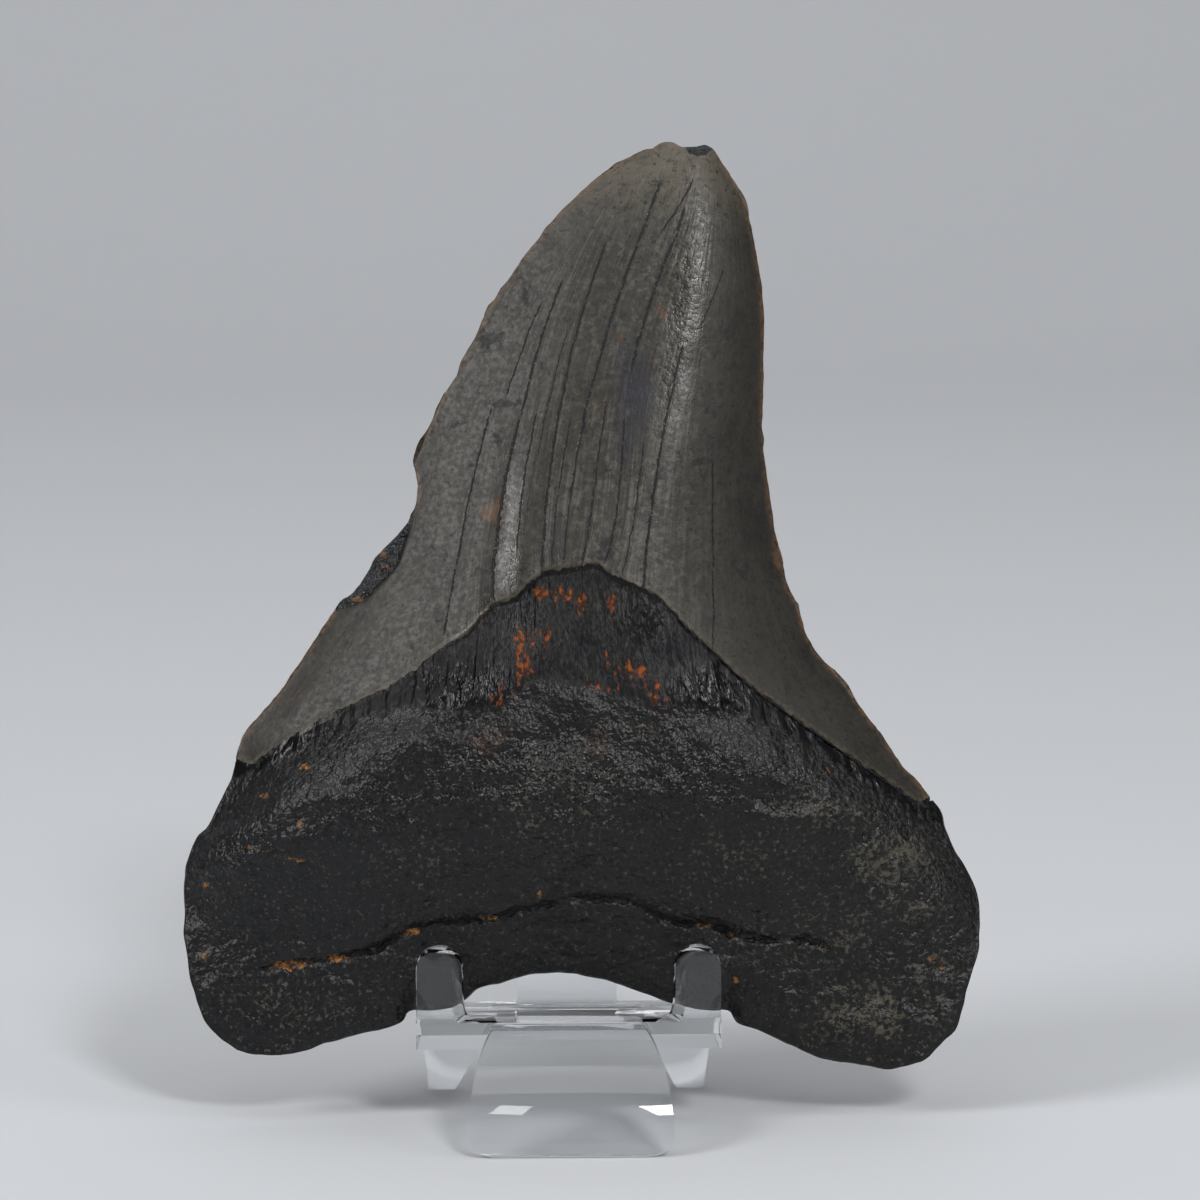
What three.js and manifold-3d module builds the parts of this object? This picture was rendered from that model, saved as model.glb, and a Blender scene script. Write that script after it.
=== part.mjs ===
import * as THREE from "three";
import Module from "manifold-3d";
import { mergeVertices } from "three/addons/utils/BufferGeometryUtils.js";

// Megalodon tooth, lingual face forward, leaning back on a clear one-piece easel.
// Millimetres, +Z up, the tooth faces -Y. The origin is the middle of the footprint, on the ground.

// The photograph's view: how far it looks down and aside, its focal length in pixels, and how far
// away and where in the picture the middle of the shelf's upper front edge is
const VIEW_DOWN = THREE.MathUtils.degToRad(9);
const VIEW_ASIDE = THREE.MathUtils.degToRad(-1.5);
const FOCAL_PIXELS = 5534;
const PHOTO_MIDDLE = 600;
const SHELF_DISTANCE = 700;
const SHELF_COLUMN = 569;
const SHELF_ROW = 1022.5;

// The tooth's flat plane leans back, and the root's lower part bends forward off it
const LEAN = THREE.MathUtils.degToRad(12);
const ROOT_BEND = 2.6;
const BEND_TOP = 17;
const BEND_BOTTOM = 0;
const BEND_PASSES = 4;

// Outline of the tooth in photograph pixels: the broken tip, then both sides going down
const TIP_EDGE = [
  [630, 157], [646, 149], [653, 148], [667, 142], [682, 145], [704, 145], [713, 149], [722, 163],
];
const LEFT_CROWN_EDGE = [
  [630, 157], [601, 174], [581, 193], [560, 212], [537, 240], [523, 258], [503, 286], [489, 306],
  [478, 331], [470, 346], [455, 378], [445, 393], [431, 421], [415, 449], [412, 462], [417, 489],
  [416, 506], [394, 539], [376, 557], [352, 595], [340, 602], [330, 618], [287, 680], [266, 708],
  [249, 726], [239, 744], [236, 757],
];
const RIGHT_CROWN_EDGE = [
  [722, 163], [742, 193], [751, 226], [757, 258], [763, 304], [764, 350], [762, 408], [764, 449],
  [769, 491], [774, 523], [780, 551], [788, 587], [798, 604], [801, 618], [815, 650], [844, 680],
  [865, 713], [880, 733], [896, 756], [913, 776], [930, 797],
];
// The crown's sides without their chips and notches, which the inside of each face follows
const LEFT_CROWN_FLOW = [
  [630, 157], [558, 208], [500, 285], [452, 378], [414, 466], [382, 540], [338, 606], [286, 676],
  [250, 724], [236, 757],
];
const RIGHT_CROWN_FLOW = [
  [722, 163], [751, 222], [763, 300], [765, 400], [772, 510], [790, 590], [816, 648], [864, 712],
  [930, 797],
];
const LEFT_ROOT_EDGE = [
  [236, 757], [232, 780], [220, 806], [208, 828], [197, 838], [187, 861], [183, 878], [184, 921],
  [187, 950], [192, 983], [202, 1018], [218, 1037], [237, 1050],
];
const RIGHT_ROOT_EDGE = [
  [930, 797], [942, 812], [947, 830], [956, 852], [971, 878], [977, 899], [978, 916], [977, 950],
  [971, 976], [964, 1006], [956, 1028], [944, 1040], [930, 1056],
];
const ARCH_EDGE = [
  [237, 1050], [252, 1055], [270, 1057], [290, 1054], [325, 1043], [366, 1033], [400, 1022],
  [409, 1012], [430, 1009], [464, 1001], [480, 989], [501, 984], [529, 976], [561, 972],
  [584, 976], [630, 988], [671, 1003], [708, 1008.5], [730, 1010], [739, 1022], [763, 1031],
  [797, 1049], [815, 1056], [840, 1061], [884, 1069], [901, 1068], [920, 1063], [930, 1056],
];

// Lower edge of the enamel: a tall V on the lingual face, a shallow bow on the labial face
const LINGUAL_ENAMEL_EDGE = [
  [236, 757], [254, 764], [300, 733], [352, 706], [404, 680], [440, 652], [468, 635], [495, 607],
  [516, 600], [542, 576], [594, 569], [613, 582], [653, 599], [684, 631], [715, 659], [756, 695],
  [811, 733], [867, 770], [917, 802], [930, 797],
];
const LABIAL_ENAMEL_EDGE = [
  [236, 757], [300, 782], [370, 790], [450, 786], [530, 776], [590, 772], [650, 778], [730, 794],
  [810, 808], [880, 812], [930, 797],
];

// Grid of the tooth: rows down the crown and the root, columns from the left edge to the right edge
const CROWN_ROWS = 30;
const ROOT_ROWS = 15;
const COLUMNS = 38;
const SIDE_KNOTS = 120;

// Half thickness of each level slice at its thickest, as [photograph row, millimetres]
const LINGUAL_DEPTH = [
  [143, 1.2], [170, 2.8], [220, 4.5], [300, 6.3], [400, 8.2], [500, 9.9], [600, 11.6], [700, 13.2],
  [780, 14], [840, 12.5], [900, 8.1], [940, 4.35], [1000, 1.8], [1070, 1.8],
];
const LABIAL_DEPTH = [
  [143, 0.8], [170, 1.6], [220, 2.1], [300, 2.5], [400, 2.9], [500, 3.2], [600, 3.6], [700, 4.2],
  [780, 4.6], [840, 4.7], [900, 4.5], [940, 4.8], [1000, 5.9], [1070, 6.2],
];

// Where the crest runs across each slice, as [photograph row, share of the way from left to right]
const LINGUAL_CREST = [[143, 0.7], [400, 0.7], [600, 0.6], [1070, 0.6]];
const LABIAL_CREST = [[143, 0.5], [1070, 0.5]];
const ROOT_CREST = 0.5;

// Section of a slice: a broader one keeps its height further out, a lower edge power rounds it
const CROWN_BREADTH = 2.05;
const CROWN_EDGE_POWER = 0.95;
const ROOT_BREADTH = 3.5;
const ROOT_EDGE_POWER = 0.6;

// The crown's section turns into the root's over this height, about a line along the enamel's V
const SECTION_LINE = [[236, 770], [575, 600], [930, 810]];
const SECTION_ABOVE = 2;
const SECTION_BELOW = 9;
const RIM_RADIUS = 7;

// The enamel stands proud of the root along its lower edge, and chips reach this far across
const ENAMEL_STEP = 0.45;
const ENAMEL_STEP_WIDTH = 0.5;
const ENAMEL_STEP_START = 0.3;
const ENAMEL_STEP_FADE = 0.06;
const CHIP_REACH = 0.08;

// Driving dimensions of the stand
const SHELF_WIDTH = 38.7;
const SHELF_DEPTH = 12;
const SHELF_TOP = 13.5;
const SHELF_THICKNESS = 3.4;
const PLATE_THICKNESS = 2.1;
const FINGER_HEIGHT = 9.4;
const FINGER_THICKNESS = 3.2;
const FINGER_FRONT_WIDTH = 4.45;
const FINGER_MIDDLE_WIDTH = 5.7;
const FINGER_BACK_WIDTH = 6;
const FINGER_FRONT_INSET = 0.1;
const FINGER_FRONT_DROP = 0.25;
const FINGER_MIDDLE_AT = 0.7;
const FINGER_FLARE = 0.8;
const FINGER_FLARE_HEIGHT = 2.8;
const FINGER_ARC_STEPS = 12;
const BURIED = 1.5;
const FOOT_REACH = 15.3;
const FOOT_ROOT = { reach: -0.5, drop: 0.1 };
const FOOT_SHOULDER = { reach: 6.43, drop: 1.1 };
const FOOT_KNEE = { reach: 14.54, drop: 4 };
const FOOT_TOP_WIDTH = 18.8;
const FOOT_BOTTOM_WIDTH = 25.8;
const FOOT_CORNER = 3;
const FOOT_STEPS = 22;
const FOOT_END_CROWDING = 0.18;
const LEG_REACH = 22;
const LEG_THICKNESS = 2.4;
const LEG_TOP_INNER = 8.5;
const LEG_BOTTOM_INNER = 14.4;
const LEG_TOP_OUTER = 18.85;
const LEG_BOTTOM_OUTER = 17.9;
const LEG_TOP_DROP = 0.8;
const LEG_TOP_INSET = 0.2;
const REST_BASE_WIDTH = 12.7;
const REST_TOP_WIDTH = 18;
const REST_LENGTH = 34;
const REST_TIP_FLAT = 0.5;
const REST_BEND_RADIUS = 2;
const REST_BEND_STEPS = 6;
const REST_STEPS = 20;
const REST_LEAN = THREE.MathUtils.degToRad(16);

// Where the tooth's flat plane meets the top of the shelf
const SEAT_BEHIND_FRONT = 7.9;
const SEAT_HEIGHT = 1.2;

const TOOTH_FINISH = { color: 0x45423c, roughness: 0.45, metalness: 0 };
const STAND_FINISH = {
  color: 0xe6ebf0, roughness: 0.06, metalness: 0, opacity: 0.35, transparent: true,
};

// Points closer together than this are one point
const WELD_DISTANCE = 1e-3;

const wasm = await Module();
wasm.setup();

function lerp(a, b, share) {
  return a + (b - a) * share;
}

function smoothstep(low, high, value) {
  const share = THREE.MathUtils.clamp((value - low) / (high - low), 0, 1);
  return share * share * (3 - 2 * share);
}

// Value at a place in a list of [place, value] knots, straight between the knots
function profile(knots, place) {
  let upper = 1;
  while (upper < knots.length - 1 && knots[upper][0] < place) upper += 1;
  const [startPlace, startValue] = knots[upper - 1];
  const [endPlace, endValue] = knots[upper];
  const share = THREE.MathUtils.clamp((place - startPlace) / (endPlace - startPlace), 0, 1);
  return lerp(startValue, endValue, share);
}

// Camera place, and the ray through each pixel that goes one millimetre deep
function photoView() {
  const ahead = new THREE.Vector3(
    -Math.sin(VIEW_ASIDE) * Math.cos(VIEW_DOWN),
    Math.cos(VIEW_ASIDE) * Math.cos(VIEW_DOWN),
    -Math.sin(VIEW_DOWN),
  );
  const right = new THREE.Vector3(Math.cos(VIEW_ASIDE), Math.sin(VIEW_ASIDE), 0);
  const above = right.clone().cross(ahead);
  const rayAt = (column, row) => ahead.clone()
    .addScaledVector(right, (column - PHOTO_MIDDLE) / FOCAL_PIXELS)
    .addScaledVector(above, (PHOTO_MIDDLE - row) / FOCAL_PIXELS);
  const shelf = new THREE.Vector3(0, 0, SHELF_TOP);
  return { camera: shelf.addScaledVector(rayAt(SHELF_COLUMN, SHELF_ROW), -SHELF_DISTANCE), rayAt };
}

// How far the root stands forward of the flat plane at a height over the seat line
function bendAt(up) {
  return ROOT_BEND * smoothstep(BEND_TOP, BEND_BOTTOM, up);
}

// Photograph pixels to the tooth's own plane, millimetres across and up from the seat line
function toPlane([column, row]) {
  const forward = new THREE.Vector3(0, -Math.cos(LEAN), Math.sin(LEAN));
  const upward = new THREE.Vector3(0, Math.sin(LEAN), Math.cos(LEAN));
  const seat = new THREE.Vector3(0, SEAT_BEHIND_FRONT, SHELF_TOP + SEAT_HEIGHT);
  const ray = VIEW.rayAt(column, row);
  const start = VIEW.camera.clone().sub(seat);
  const point = new THREE.Vector2();
  for (let pass = 0; pass < BEND_PASSES; pass += 1) {
    const depth = (bendAt(point.y) - start.dot(forward)) / ray.dot(forward);
    const place = start.clone().addScaledVector(ray, depth);
    point.set(place.x, place.dot(upward));
  }
  return point;
}

// [photograph row, value] knots as [millimetres down the plane, value] knots
function downPlane(knots) {
  return knots.map(([row, value]) => [-toPlane([SHELF_COLUMN, row]).y, value]);
}

// Points at equal steps along an outline of photograph pixels
function evenly(outline, steps) {
  const path = new THREE.CurvePath();
  const points = outline.map(toPlane);
  for (let i = 1; i < points.length; i += 1) {
    path.add(new THREE.LineCurve(points[i - 1], points[i]));
  }
  return Array.from({ length: steps + 1 }, (_, i) => path.getPointAt(i / steps));
}

// Points at equal steps along a smooth curve through photograph pixels
function smoothly(outline, steps) {
  return new THREE.SplineCurve(outline.map(toPlane)).getSpacedPoints(steps);
}

// Grid of plane points filled in between four edges that meet at their ends
function fillPatch(top, bottom, left, right) {
  const rows = left.length - 1;
  const columns = top.length - 1;
  const grid = [];
  for (let i = 0; i <= rows; i += 1) {
    const down = i / rows;
    const line = [];
    for (let j = 0; j <= columns; j += 1) {
      const across = j / columns;
      const sides = left[i].clone().lerp(right[i], across);
      const ends = top[j].clone().lerp(bottom[j], down);
      const upperCorners = top[0].clone().lerp(top[columns], across);
      const lowerCorners = bottom[0].clone().lerp(bottom[columns], across);
      const corners = upperCorners.lerp(lowerCorners, down);
      line.push(sides.add(ends).sub(corners));
    }
    grid.push(line);
  }
  return grid;
}

// Moves a grid's outer columns out to the real sides, with their chips and notches
function chipSides(grid, left, right) {
  return grid.map((line, i) => {
    const leftShift = left[i].clone().sub(line[0]);
    const rightShift = right[i].clone().sub(line[COLUMNS]);
    return line.map((point, j) => {
      const toLeft = Math.max(0, 1 - j / COLUMNS / CHIP_REACH) ** 2;
      const toRight = Math.max(0, 1 - (1 - j / COLUMNS) / CHIP_REACH) ** 2;
      return point.clone().addScaledVector(leftShift, toLeft).addScaledVector(rightShift, toRight);
    });
  });
}

// How far across a side is at each place down it, smooth between its points, as [down, across] knots
function sideKnots(outline) {
  const curve = new THREE.SplineCurve(outline.map(toPlane));
  return curve.getPoints(SIDE_KNOTS).map((knot) => [-knot.y, knot.x]);
}

// Height over the flat plane across a slice, as a share of its middle: 0 at its ends, 1 on the crest
function acrossShare(across, crest, breadth, edge) {
  const side = across < crest ? (crest - across) / crest : (across - crest) / (1 - crest);
  return Math.pow(Math.max(0, 1 - Math.pow(side, breadth)), edge);
}

// Distance from a point to a line of points
function distanceTo(line, point) {
  const nearest = new THREE.Vector3();
  const from = new THREE.Vector3(point.x, point.y, 0);
  let least = Infinity;
  for (const segment of line) {
    segment.closestPointToPoint(from, true, nearest);
    least = Math.min(least, nearest.distanceTo(from));
  }
  return least;
}

function segmentsOf(outline) {
  const points = outline.map(toPlane).map(({ x, y }) => new THREE.Vector3(x, y, 0));
  return points.slice(1).map((point, i) => new THREE.Line3(points[i], point));
}

// Half thickness at a point: a lens with cutting edges in the crown, round-edged in the root
function depthAt(point, depthKnots, crestKnots) {
  const left = profile(LEFT_SIDE, -point.y);
  const right = profile(RIGHT_SIDE, -point.y);
  const across = THREE.MathUtils.clamp((point.x - left) / (right - left), 0, 1);
  const below = profile(SECTION_HEIGHTS, point.x) - point.y;
  const rooted = smoothstep(-SECTION_ABOVE, SECTION_BELOW, below);
  const crest = lerp(profile(crestKnots, -point.y), ROOT_CREST, rooted);
  const blade = acrossShare(across, crest, CROWN_BREADTH, CROWN_EDGE_POWER);
  const inward = Math.min(1, distanceTo(ROOT_RIM, point) / RIM_RADIUS);
  const rim = Math.sqrt(1 - (1 - inward) ** 2);
  const block = acrossShare(across, crest, ROOT_BREADTH, ROOT_EDGE_POWER) * rim;
  return profile(depthKnots, -point.y) * lerp(blade, block, rooted);
}

// One face of the tooth: crown rows, the enamel's step, then root rows
function toothFace(enamelOutline, depthByRow, crestByRow) {
  const depthKnots = downPlane(depthByRow);
  const crestKnots = downPlane(crestByRow);
  const enamelEdge = evenly(enamelOutline, COLUMNS);
  const stepEdge = enamelEdge.map((point) => point.clone().setY(point.y - ENAMEL_STEP_WIDTH));
  const leftRoot = evenly(LEFT_ROOT_EDGE, ROOT_ROWS);
  const rightRoot = evenly(RIGHT_ROOT_EDGE, ROOT_ROWS);
  leftRoot[0] = stepEdge[0];
  rightRoot[0] = stepEdge[COLUMNS];
  const flow = fillPatch(
    evenly(TIP_EDGE, COLUMNS),
    enamelEdge,
    smoothly(LEFT_CROWN_FLOW, CROWN_ROWS),
    smoothly(RIGHT_CROWN_FLOW, CROWN_ROWS),
  );
  const crown = chipSides(
    flow, evenly(LEFT_CROWN_EDGE, CROWN_ROWS), evenly(RIGHT_CROWN_EDGE, CROWN_ROWS),
  );
  const root = fillPatch(stepEdge, evenly(ARCH_EDGE, COLUMNS), leftRoot, rightRoot);
  const lift = (grid, lipAt) => grid.map((line, i) => line.map((point, j) => (
    [point.x, depthAt(point, depthKnots, crestKnots) + lipAt(j / COLUMNS, i / CROWN_ROWS), point.y]
  )));
  const crownRows = lift(crown, (across, down) => {
    const fade = smoothstep(0, ENAMEL_STEP_FADE, Math.min(across, 1 - across));
    return ENAMEL_STEP * fade * smoothstep(ENAMEL_STEP_START, 1, down);
  });
  return [...crownRows, ...lift(root, () => 0)];
}

// Both faces come down to nothing all round the rim, so that the rims match
function pinRim(face) {
  const last = face.length - 1;
  return face.map((line, i) => line.map(([x, depth, z], j) => {
    const onRim = i === 0 || i === last || j === 0 || j === line.length - 1;
    return [x, onRim ? 0 : depth, z];
  }));
}

// Geometry from plain lists of points and corner numbers
function meshOf(positions, corners) {
  const geometry = new THREE.BufferGeometry();
  geometry.setAttribute("position", new THREE.Float32BufferAttribute(positions, 3));
  geometry.setIndex(corners);
  return geometry;
}

// Closes the lingual and labial grids, which share their rim, into one mesh
function closeFaces(front, back) {
  const rows = front.length;
  const columns = front[0].length;
  const positions = [];
  for (const line of front) for (const [x, depth, z] of line) positions.push(x, -bendAt(z) - depth, z);
  for (const line of back) for (const [x, depth, z] of line) positions.push(x, depth - bendAt(z), z);
  const corners = [];
  const at = (sheet, i, j) => sheet * rows * columns + i * columns + j;
  for (let i = 0; i < rows - 1; i += 1) {
    for (let j = 0; j < columns - 1; j += 1) {
      const frontCell = [at(0, i, j), at(0, i + 1, j), at(0, i + 1, j + 1), at(0, i, j + 1)];
      const backCell = [at(1, i, j), at(1, i, j + 1), at(1, i + 1, j + 1), at(1, i + 1, j)];
      for (const [a, b, c, d] of [frontCell, backCell]) corners.push(a, b, c, a, c, d);
    }
  }
  return mergeVertices(meshOf(positions, corners), WELD_DISTANCE);
}

function makeTooth() {
  const lingual = toothFace(LINGUAL_ENAMEL_EDGE, LINGUAL_DEPTH, LINGUAL_CREST);
  const labial = toothFace(LABIAL_ENAMEL_EDGE, LABIAL_DEPTH, LABIAL_CREST);
  return closeFaces(pinRim(lingual), pinRim(labial));
}

// Joins closed geometries into one
function join(geometries) {
  const solids = geometries.map((geometry) => {
    const bare = geometry.clone();
    bare.deleteAttribute("normal");
    bare.deleteAttribute("uv");
    const merged = mergeVertices(bare, WELD_DISTANCE);
    return new wasm.Manifold(new wasm.Mesh({
      numProp: 3,
      vertProperties: new Float32Array(merged.attributes.position.array),
      triVerts: new Uint32Array(merged.index.array),
    }));
  });
  const whole = solids.reduce((sum, solid) => sum.add(solid)).getMesh();
  return meshOf(whole.vertProperties, Array.from(whole.triVerts));
}

// Volume inside a closed list of triangles, negative where they face inwards
function signedVolume(positions, corners) {
  const at = (corner) => new THREE.Vector3().fromArray(positions, corner * 3);
  let volume = 0;
  for (let i = 0; i < corners.length; i += 3) {
    volume += at(corners[i]).dot(at(corners[i + 1]).cross(at(corners[i + 2]))) / 6;
  }
  return volume;
}

// Closed skin over a row of loops with equal point counts, ends covered by fans, facing outwards
function loft(loops) {
  const count = loops[0].length;
  const corners = [];
  for (let i = 0; i < loops.length - 1; i += 1) {
    for (let j = 0; j < count; j += 1) {
      const a = i * count + j;
      const b = i * count + ((j + 1) % count);
      corners.push(a, b, b + count, a, b + count, a + count);
    }
  }
  const last = (loops.length - 1) * count;
  for (let j = 1; j < count - 1; j += 1) {
    corners.push(0, j + 1, j);
    corners.push(last, last + j, last + j + 1);
  }
  const positions = loops.flat(2);
  if (signedVolume(positions, corners) < 0) corners.reverse();
  return meshOf(positions, corners);
}

// Plate whose upper side follows stations { y, z, turn, half }; its underside lies straight below
// at turn 0 and straight behind at a quarter turn
function plateAlong(stations, thickness) {
  return loft(stations.map(({ y, z, turn, half }) => {
    const underY = y + Math.sin(turn) * thickness;
    const underZ = Math.max(0, z - Math.cos(turn) * thickness);
    return [[half, y, z], [half, underY, underZ], [-half, underY, underZ], [-half, y, z]];
  }));
}

// Half width of a plate near an end with rounded corners
function roundedHalf(half, radius, toEnd) {
  if (toEnd >= radius) return half;
  return half - radius + Math.sqrt(radius * radius - (radius - toEnd) ** 2);
}

function makeShelf() {
  const shelf = new THREE.BoxGeometry(SHELF_WIDTH, SHELF_DEPTH, SHELF_THICKNESS);
  shelf.translate(0, SHELF_DEPTH / 2, SHELF_TOP - SHELF_THICKNESS / 2);
  return shelf;
}

// Upright loop with a round top and a flared foot on its inner side; side is -1 left, 1 right
function fingerLoop(side, outer, width, top, y) {
  const inner = outer - width;
  const radius = width / 2;
  const buried = SHELF_TOP - BURIED;
  const points = [
    [outer, buried], [inner - FINGER_FLARE, buried], [inner - FINGER_FLARE, SHELF_TOP],
    [inner - FINGER_FLARE / 3, SHELF_TOP + FINGER_FLARE_HEIGHT / 3],
    [inner, SHELF_TOP + FINGER_FLARE_HEIGHT],
  ];
  for (let i = 0; i <= FINGER_ARC_STEPS; i += 1) {
    const angle = Math.PI * (1 - i / FINGER_ARC_STEPS);
    points.push([inner + radius + radius * Math.cos(angle), top - radius + radius * Math.sin(angle)]);
  }
  return points.map(([x, z]) => [side * x, y, z]);
}

// Finger whose front face is narrower than its back, so that its inner side shows from the front
function makeFinger(side) {
  const outer = SHELF_WIDTH / 2;
  const top = SHELF_TOP + FINGER_HEIGHT;
  return loft([
    fingerLoop(side, outer - FINGER_FRONT_INSET, FINGER_FRONT_WIDTH, top - FINGER_FRONT_DROP, 0),
    fingerLoop(side, outer, FINGER_MIDDLE_WIDTH, top, FINGER_THICKNESS * FINGER_MIDDLE_AT),
    fingerLoop(side, outer, FINGER_BACK_WIDTH, top, FINGER_THICKNESS),
  ]);
}

// Curved foot that leaves the shelf level and comes down on its lower edge
function makeFoot() {
  const below = ({ reach, drop }) => new THREE.Vector2(-reach, SHELF_TOP - drop);
  const edge = new THREE.Vector2(-FOOT_REACH, 0);
  const curve = new THREE.CubicBezierCurve(
    below(FOOT_ROOT), below(FOOT_SHOULDER), below(FOOT_KNEE), edge,
  );
  const length = curve.getLength();
  const stations = [];
  for (let i = 0; i <= FOOT_STEPS; i += 1) {
    const step = i / FOOT_STEPS;
    const share = Math.min(1, step + FOOT_END_CROWDING * step * (1 - step));
    const point = curve.getPointAt(share);
    const tangent = curve.getTangentAt(share);
    const turn = i === FOOT_STEPS ? Math.PI / 2 : Math.atan2(-tangent.y, -tangent.x);
    const spread = lerp(FOOT_TOP_WIDTH, FOOT_BOTTOM_WIDTH, Math.sin((share * Math.PI) / 2)) / 2;
    const half = roundedHalf(spread, FOOT_CORNER, length * (1 - share));
    stations.push({ y: point.x, z: point.y, turn, half });
  }
  return plateAlong(stations, PLATE_THICKNESS);
}

// Rear leg: a tab off the shelf's rear edge that narrows on its way down
function makeLeg(side) {
  const topY = SHELF_DEPTH - LEG_THICKNESS - LEG_TOP_INSET;
  const corners = (inner, outer, y, z) => [
    [side * inner, y, z], [side * outer, y, z],
    [side * outer, y + LEG_THICKNESS, z], [side * inner, y + LEG_THICKNESS, z],
  ];
  const top = corners(LEG_TOP_INNER, LEG_TOP_OUTER, topY, SHELF_TOP - LEG_TOP_DROP);
  const bottom = corners(LEG_BOTTOM_INNER, LEG_BOTTOM_OUTER, LEG_REACH - LEG_THICKNESS, 0);
  return loft([top, bottom]);
}

// Back rest: a tongue that bends up out of the shelf and leans back
function makeBackRest() {
  const lean = Math.PI / 2 - REST_LEAN;
  const centreY = SHELF_DEPTH - REST_BEND_RADIUS;
  const centreZ = SHELF_TOP + REST_BEND_RADIUS;
  const stations = [{ y: centreY - BURIED, z: SHELF_TOP, turn: 0, half: REST_BASE_WIDTH / 2 }];
  for (let i = 1; i <= REST_BEND_STEPS; i += 1) {
    const turn = (lean * i) / REST_BEND_STEPS;
    const y = centreY + REST_BEND_RADIUS * Math.sin(turn);
    const z = centreZ - REST_BEND_RADIUS * Math.cos(turn);
    stations.push({ y, z, turn, half: REST_BASE_WIDTH / 2 });
  }
  const { y: bendY, z: bendZ } = stations[REST_BEND_STEPS];
  for (let i = 1; i <= REST_STEPS; i += 1) {
    const share = Math.sin((Math.PI / 2) * (i / REST_STEPS));
    const along = REST_LENGTH * share;
    const spread = lerp(REST_BASE_WIDTH, REST_TOP_WIDTH, share) / 2;
    const half = roundedHalf(spread, spread - REST_TIP_FLAT, REST_LENGTH - along);
    const y = bendY + along * Math.cos(lean);
    const z = bendZ + along * Math.sin(lean);
    stations.push({ y, z, turn: lean, half });
  }
  return plateAlong(stations, LEG_THICKNESS);
}

function makeStand() {
  return join([
    makeShelf(), makeFinger(-1), makeFinger(1), makeFoot(), makeLeg(-1), makeLeg(1), makeBackRest(),
  ]);
}

const VIEW = photoView();
const LEFT_SIDE = sideKnots([...LEFT_CROWN_FLOW, ...LEFT_ROOT_EDGE.slice(1)]);
const RIGHT_SIDE = sideKnots([...RIGHT_CROWN_FLOW, ...RIGHT_ROOT_EDGE.slice(1)]);
const SECTION_HEIGHTS = SECTION_LINE.map(toPlane).map(({ x, y }) => [x, y]);
const ROOT_RIM = [LEFT_ROOT_EDGE, ARCH_EDGE, RIGHT_ROOT_EDGE].flatMap(segmentsOf);

const stand = new THREE.Mesh(makeStand(), new THREE.MeshStandardMaterial(STAND_FINISH));
stand.name = "display_stand";

const tooth = new THREE.Mesh(makeTooth(), new THREE.MeshStandardMaterial(TOOTH_FINISH));
tooth.name = "tooth";
tooth.rotation.x = -LEAN;
tooth.position.set(0, SEAT_BEHIND_FRONT, SHELF_TOP + SEAT_HEIGHT);

const model = new THREE.Group();
model.add(stand, tooth);
const extent = new THREE.Box3().setFromObject(model, true);
const middle = extent.getCenter(new THREE.Vector3());
model.position.set(-middle.x, -middle.y, -extent.min.z);

export default model;
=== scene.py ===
import math
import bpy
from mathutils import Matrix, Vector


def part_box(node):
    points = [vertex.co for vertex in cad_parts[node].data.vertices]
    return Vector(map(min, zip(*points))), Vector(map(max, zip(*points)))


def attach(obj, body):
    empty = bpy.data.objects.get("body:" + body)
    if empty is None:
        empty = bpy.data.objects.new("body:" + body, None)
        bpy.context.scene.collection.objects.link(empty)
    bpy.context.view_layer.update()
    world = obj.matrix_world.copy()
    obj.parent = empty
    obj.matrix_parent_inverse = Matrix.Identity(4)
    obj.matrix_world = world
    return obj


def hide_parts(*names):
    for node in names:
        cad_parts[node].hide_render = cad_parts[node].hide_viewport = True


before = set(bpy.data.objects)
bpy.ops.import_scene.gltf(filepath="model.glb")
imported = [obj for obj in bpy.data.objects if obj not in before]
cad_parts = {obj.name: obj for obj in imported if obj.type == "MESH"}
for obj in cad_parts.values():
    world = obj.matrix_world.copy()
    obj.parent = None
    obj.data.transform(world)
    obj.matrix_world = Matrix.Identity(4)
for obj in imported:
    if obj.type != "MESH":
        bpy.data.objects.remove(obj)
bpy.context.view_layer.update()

from types import SimpleNamespace

import bmesh
import bpy
import numpy as np
from bpy.props import FloatProperty, FloatVectorProperty, PointerProperty
from mathutils import Matrix, Vector

bl_info = {
    "name": "Megalodon tooth on a clear easel",
    "version": (1, 0, 0),
    "blender": (4, 5, 0),
    "location": "3D View > Sidebar > Fossil",
    "description": "Dresses the packed tooth and its easel with their real shapes and finishes",
    "category": "Object",
}

MM = 0.001
METRE = 1000.0

# The photograph's view: how far it looks down and aside, its focal length in pixels, and how far
# away and where in the picture the middle of the shelf's upper front edge is
VIEW_DOWN = math.radians(9)
VIEW_ASIDE = math.radians(-1.5)
FOCAL_PIXELS = 5534.0
PHOTO_SIDE = 1200.0
SHELF_DISTANCE = 700.0
SHELF_PIXEL = (569.0, 1022.5)
PIXEL = SHELF_DISTANCE / FOCAL_PIXELS

# The tooth's plane leans back on the shelf, and the root's lower part bends forward off it
LEAN = math.radians(12)
SEAT_BEHIND_FRONT = 7.9
SEAT_HEIGHT = 1.2
ROOT_BEND = 2.6
BEND_TOP = 17.0
BEND_BOTTOM = 0.0
BEND_PASSES = 4
SHELF_TOP = 13.5
FOOT_REACH = 15.3

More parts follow.
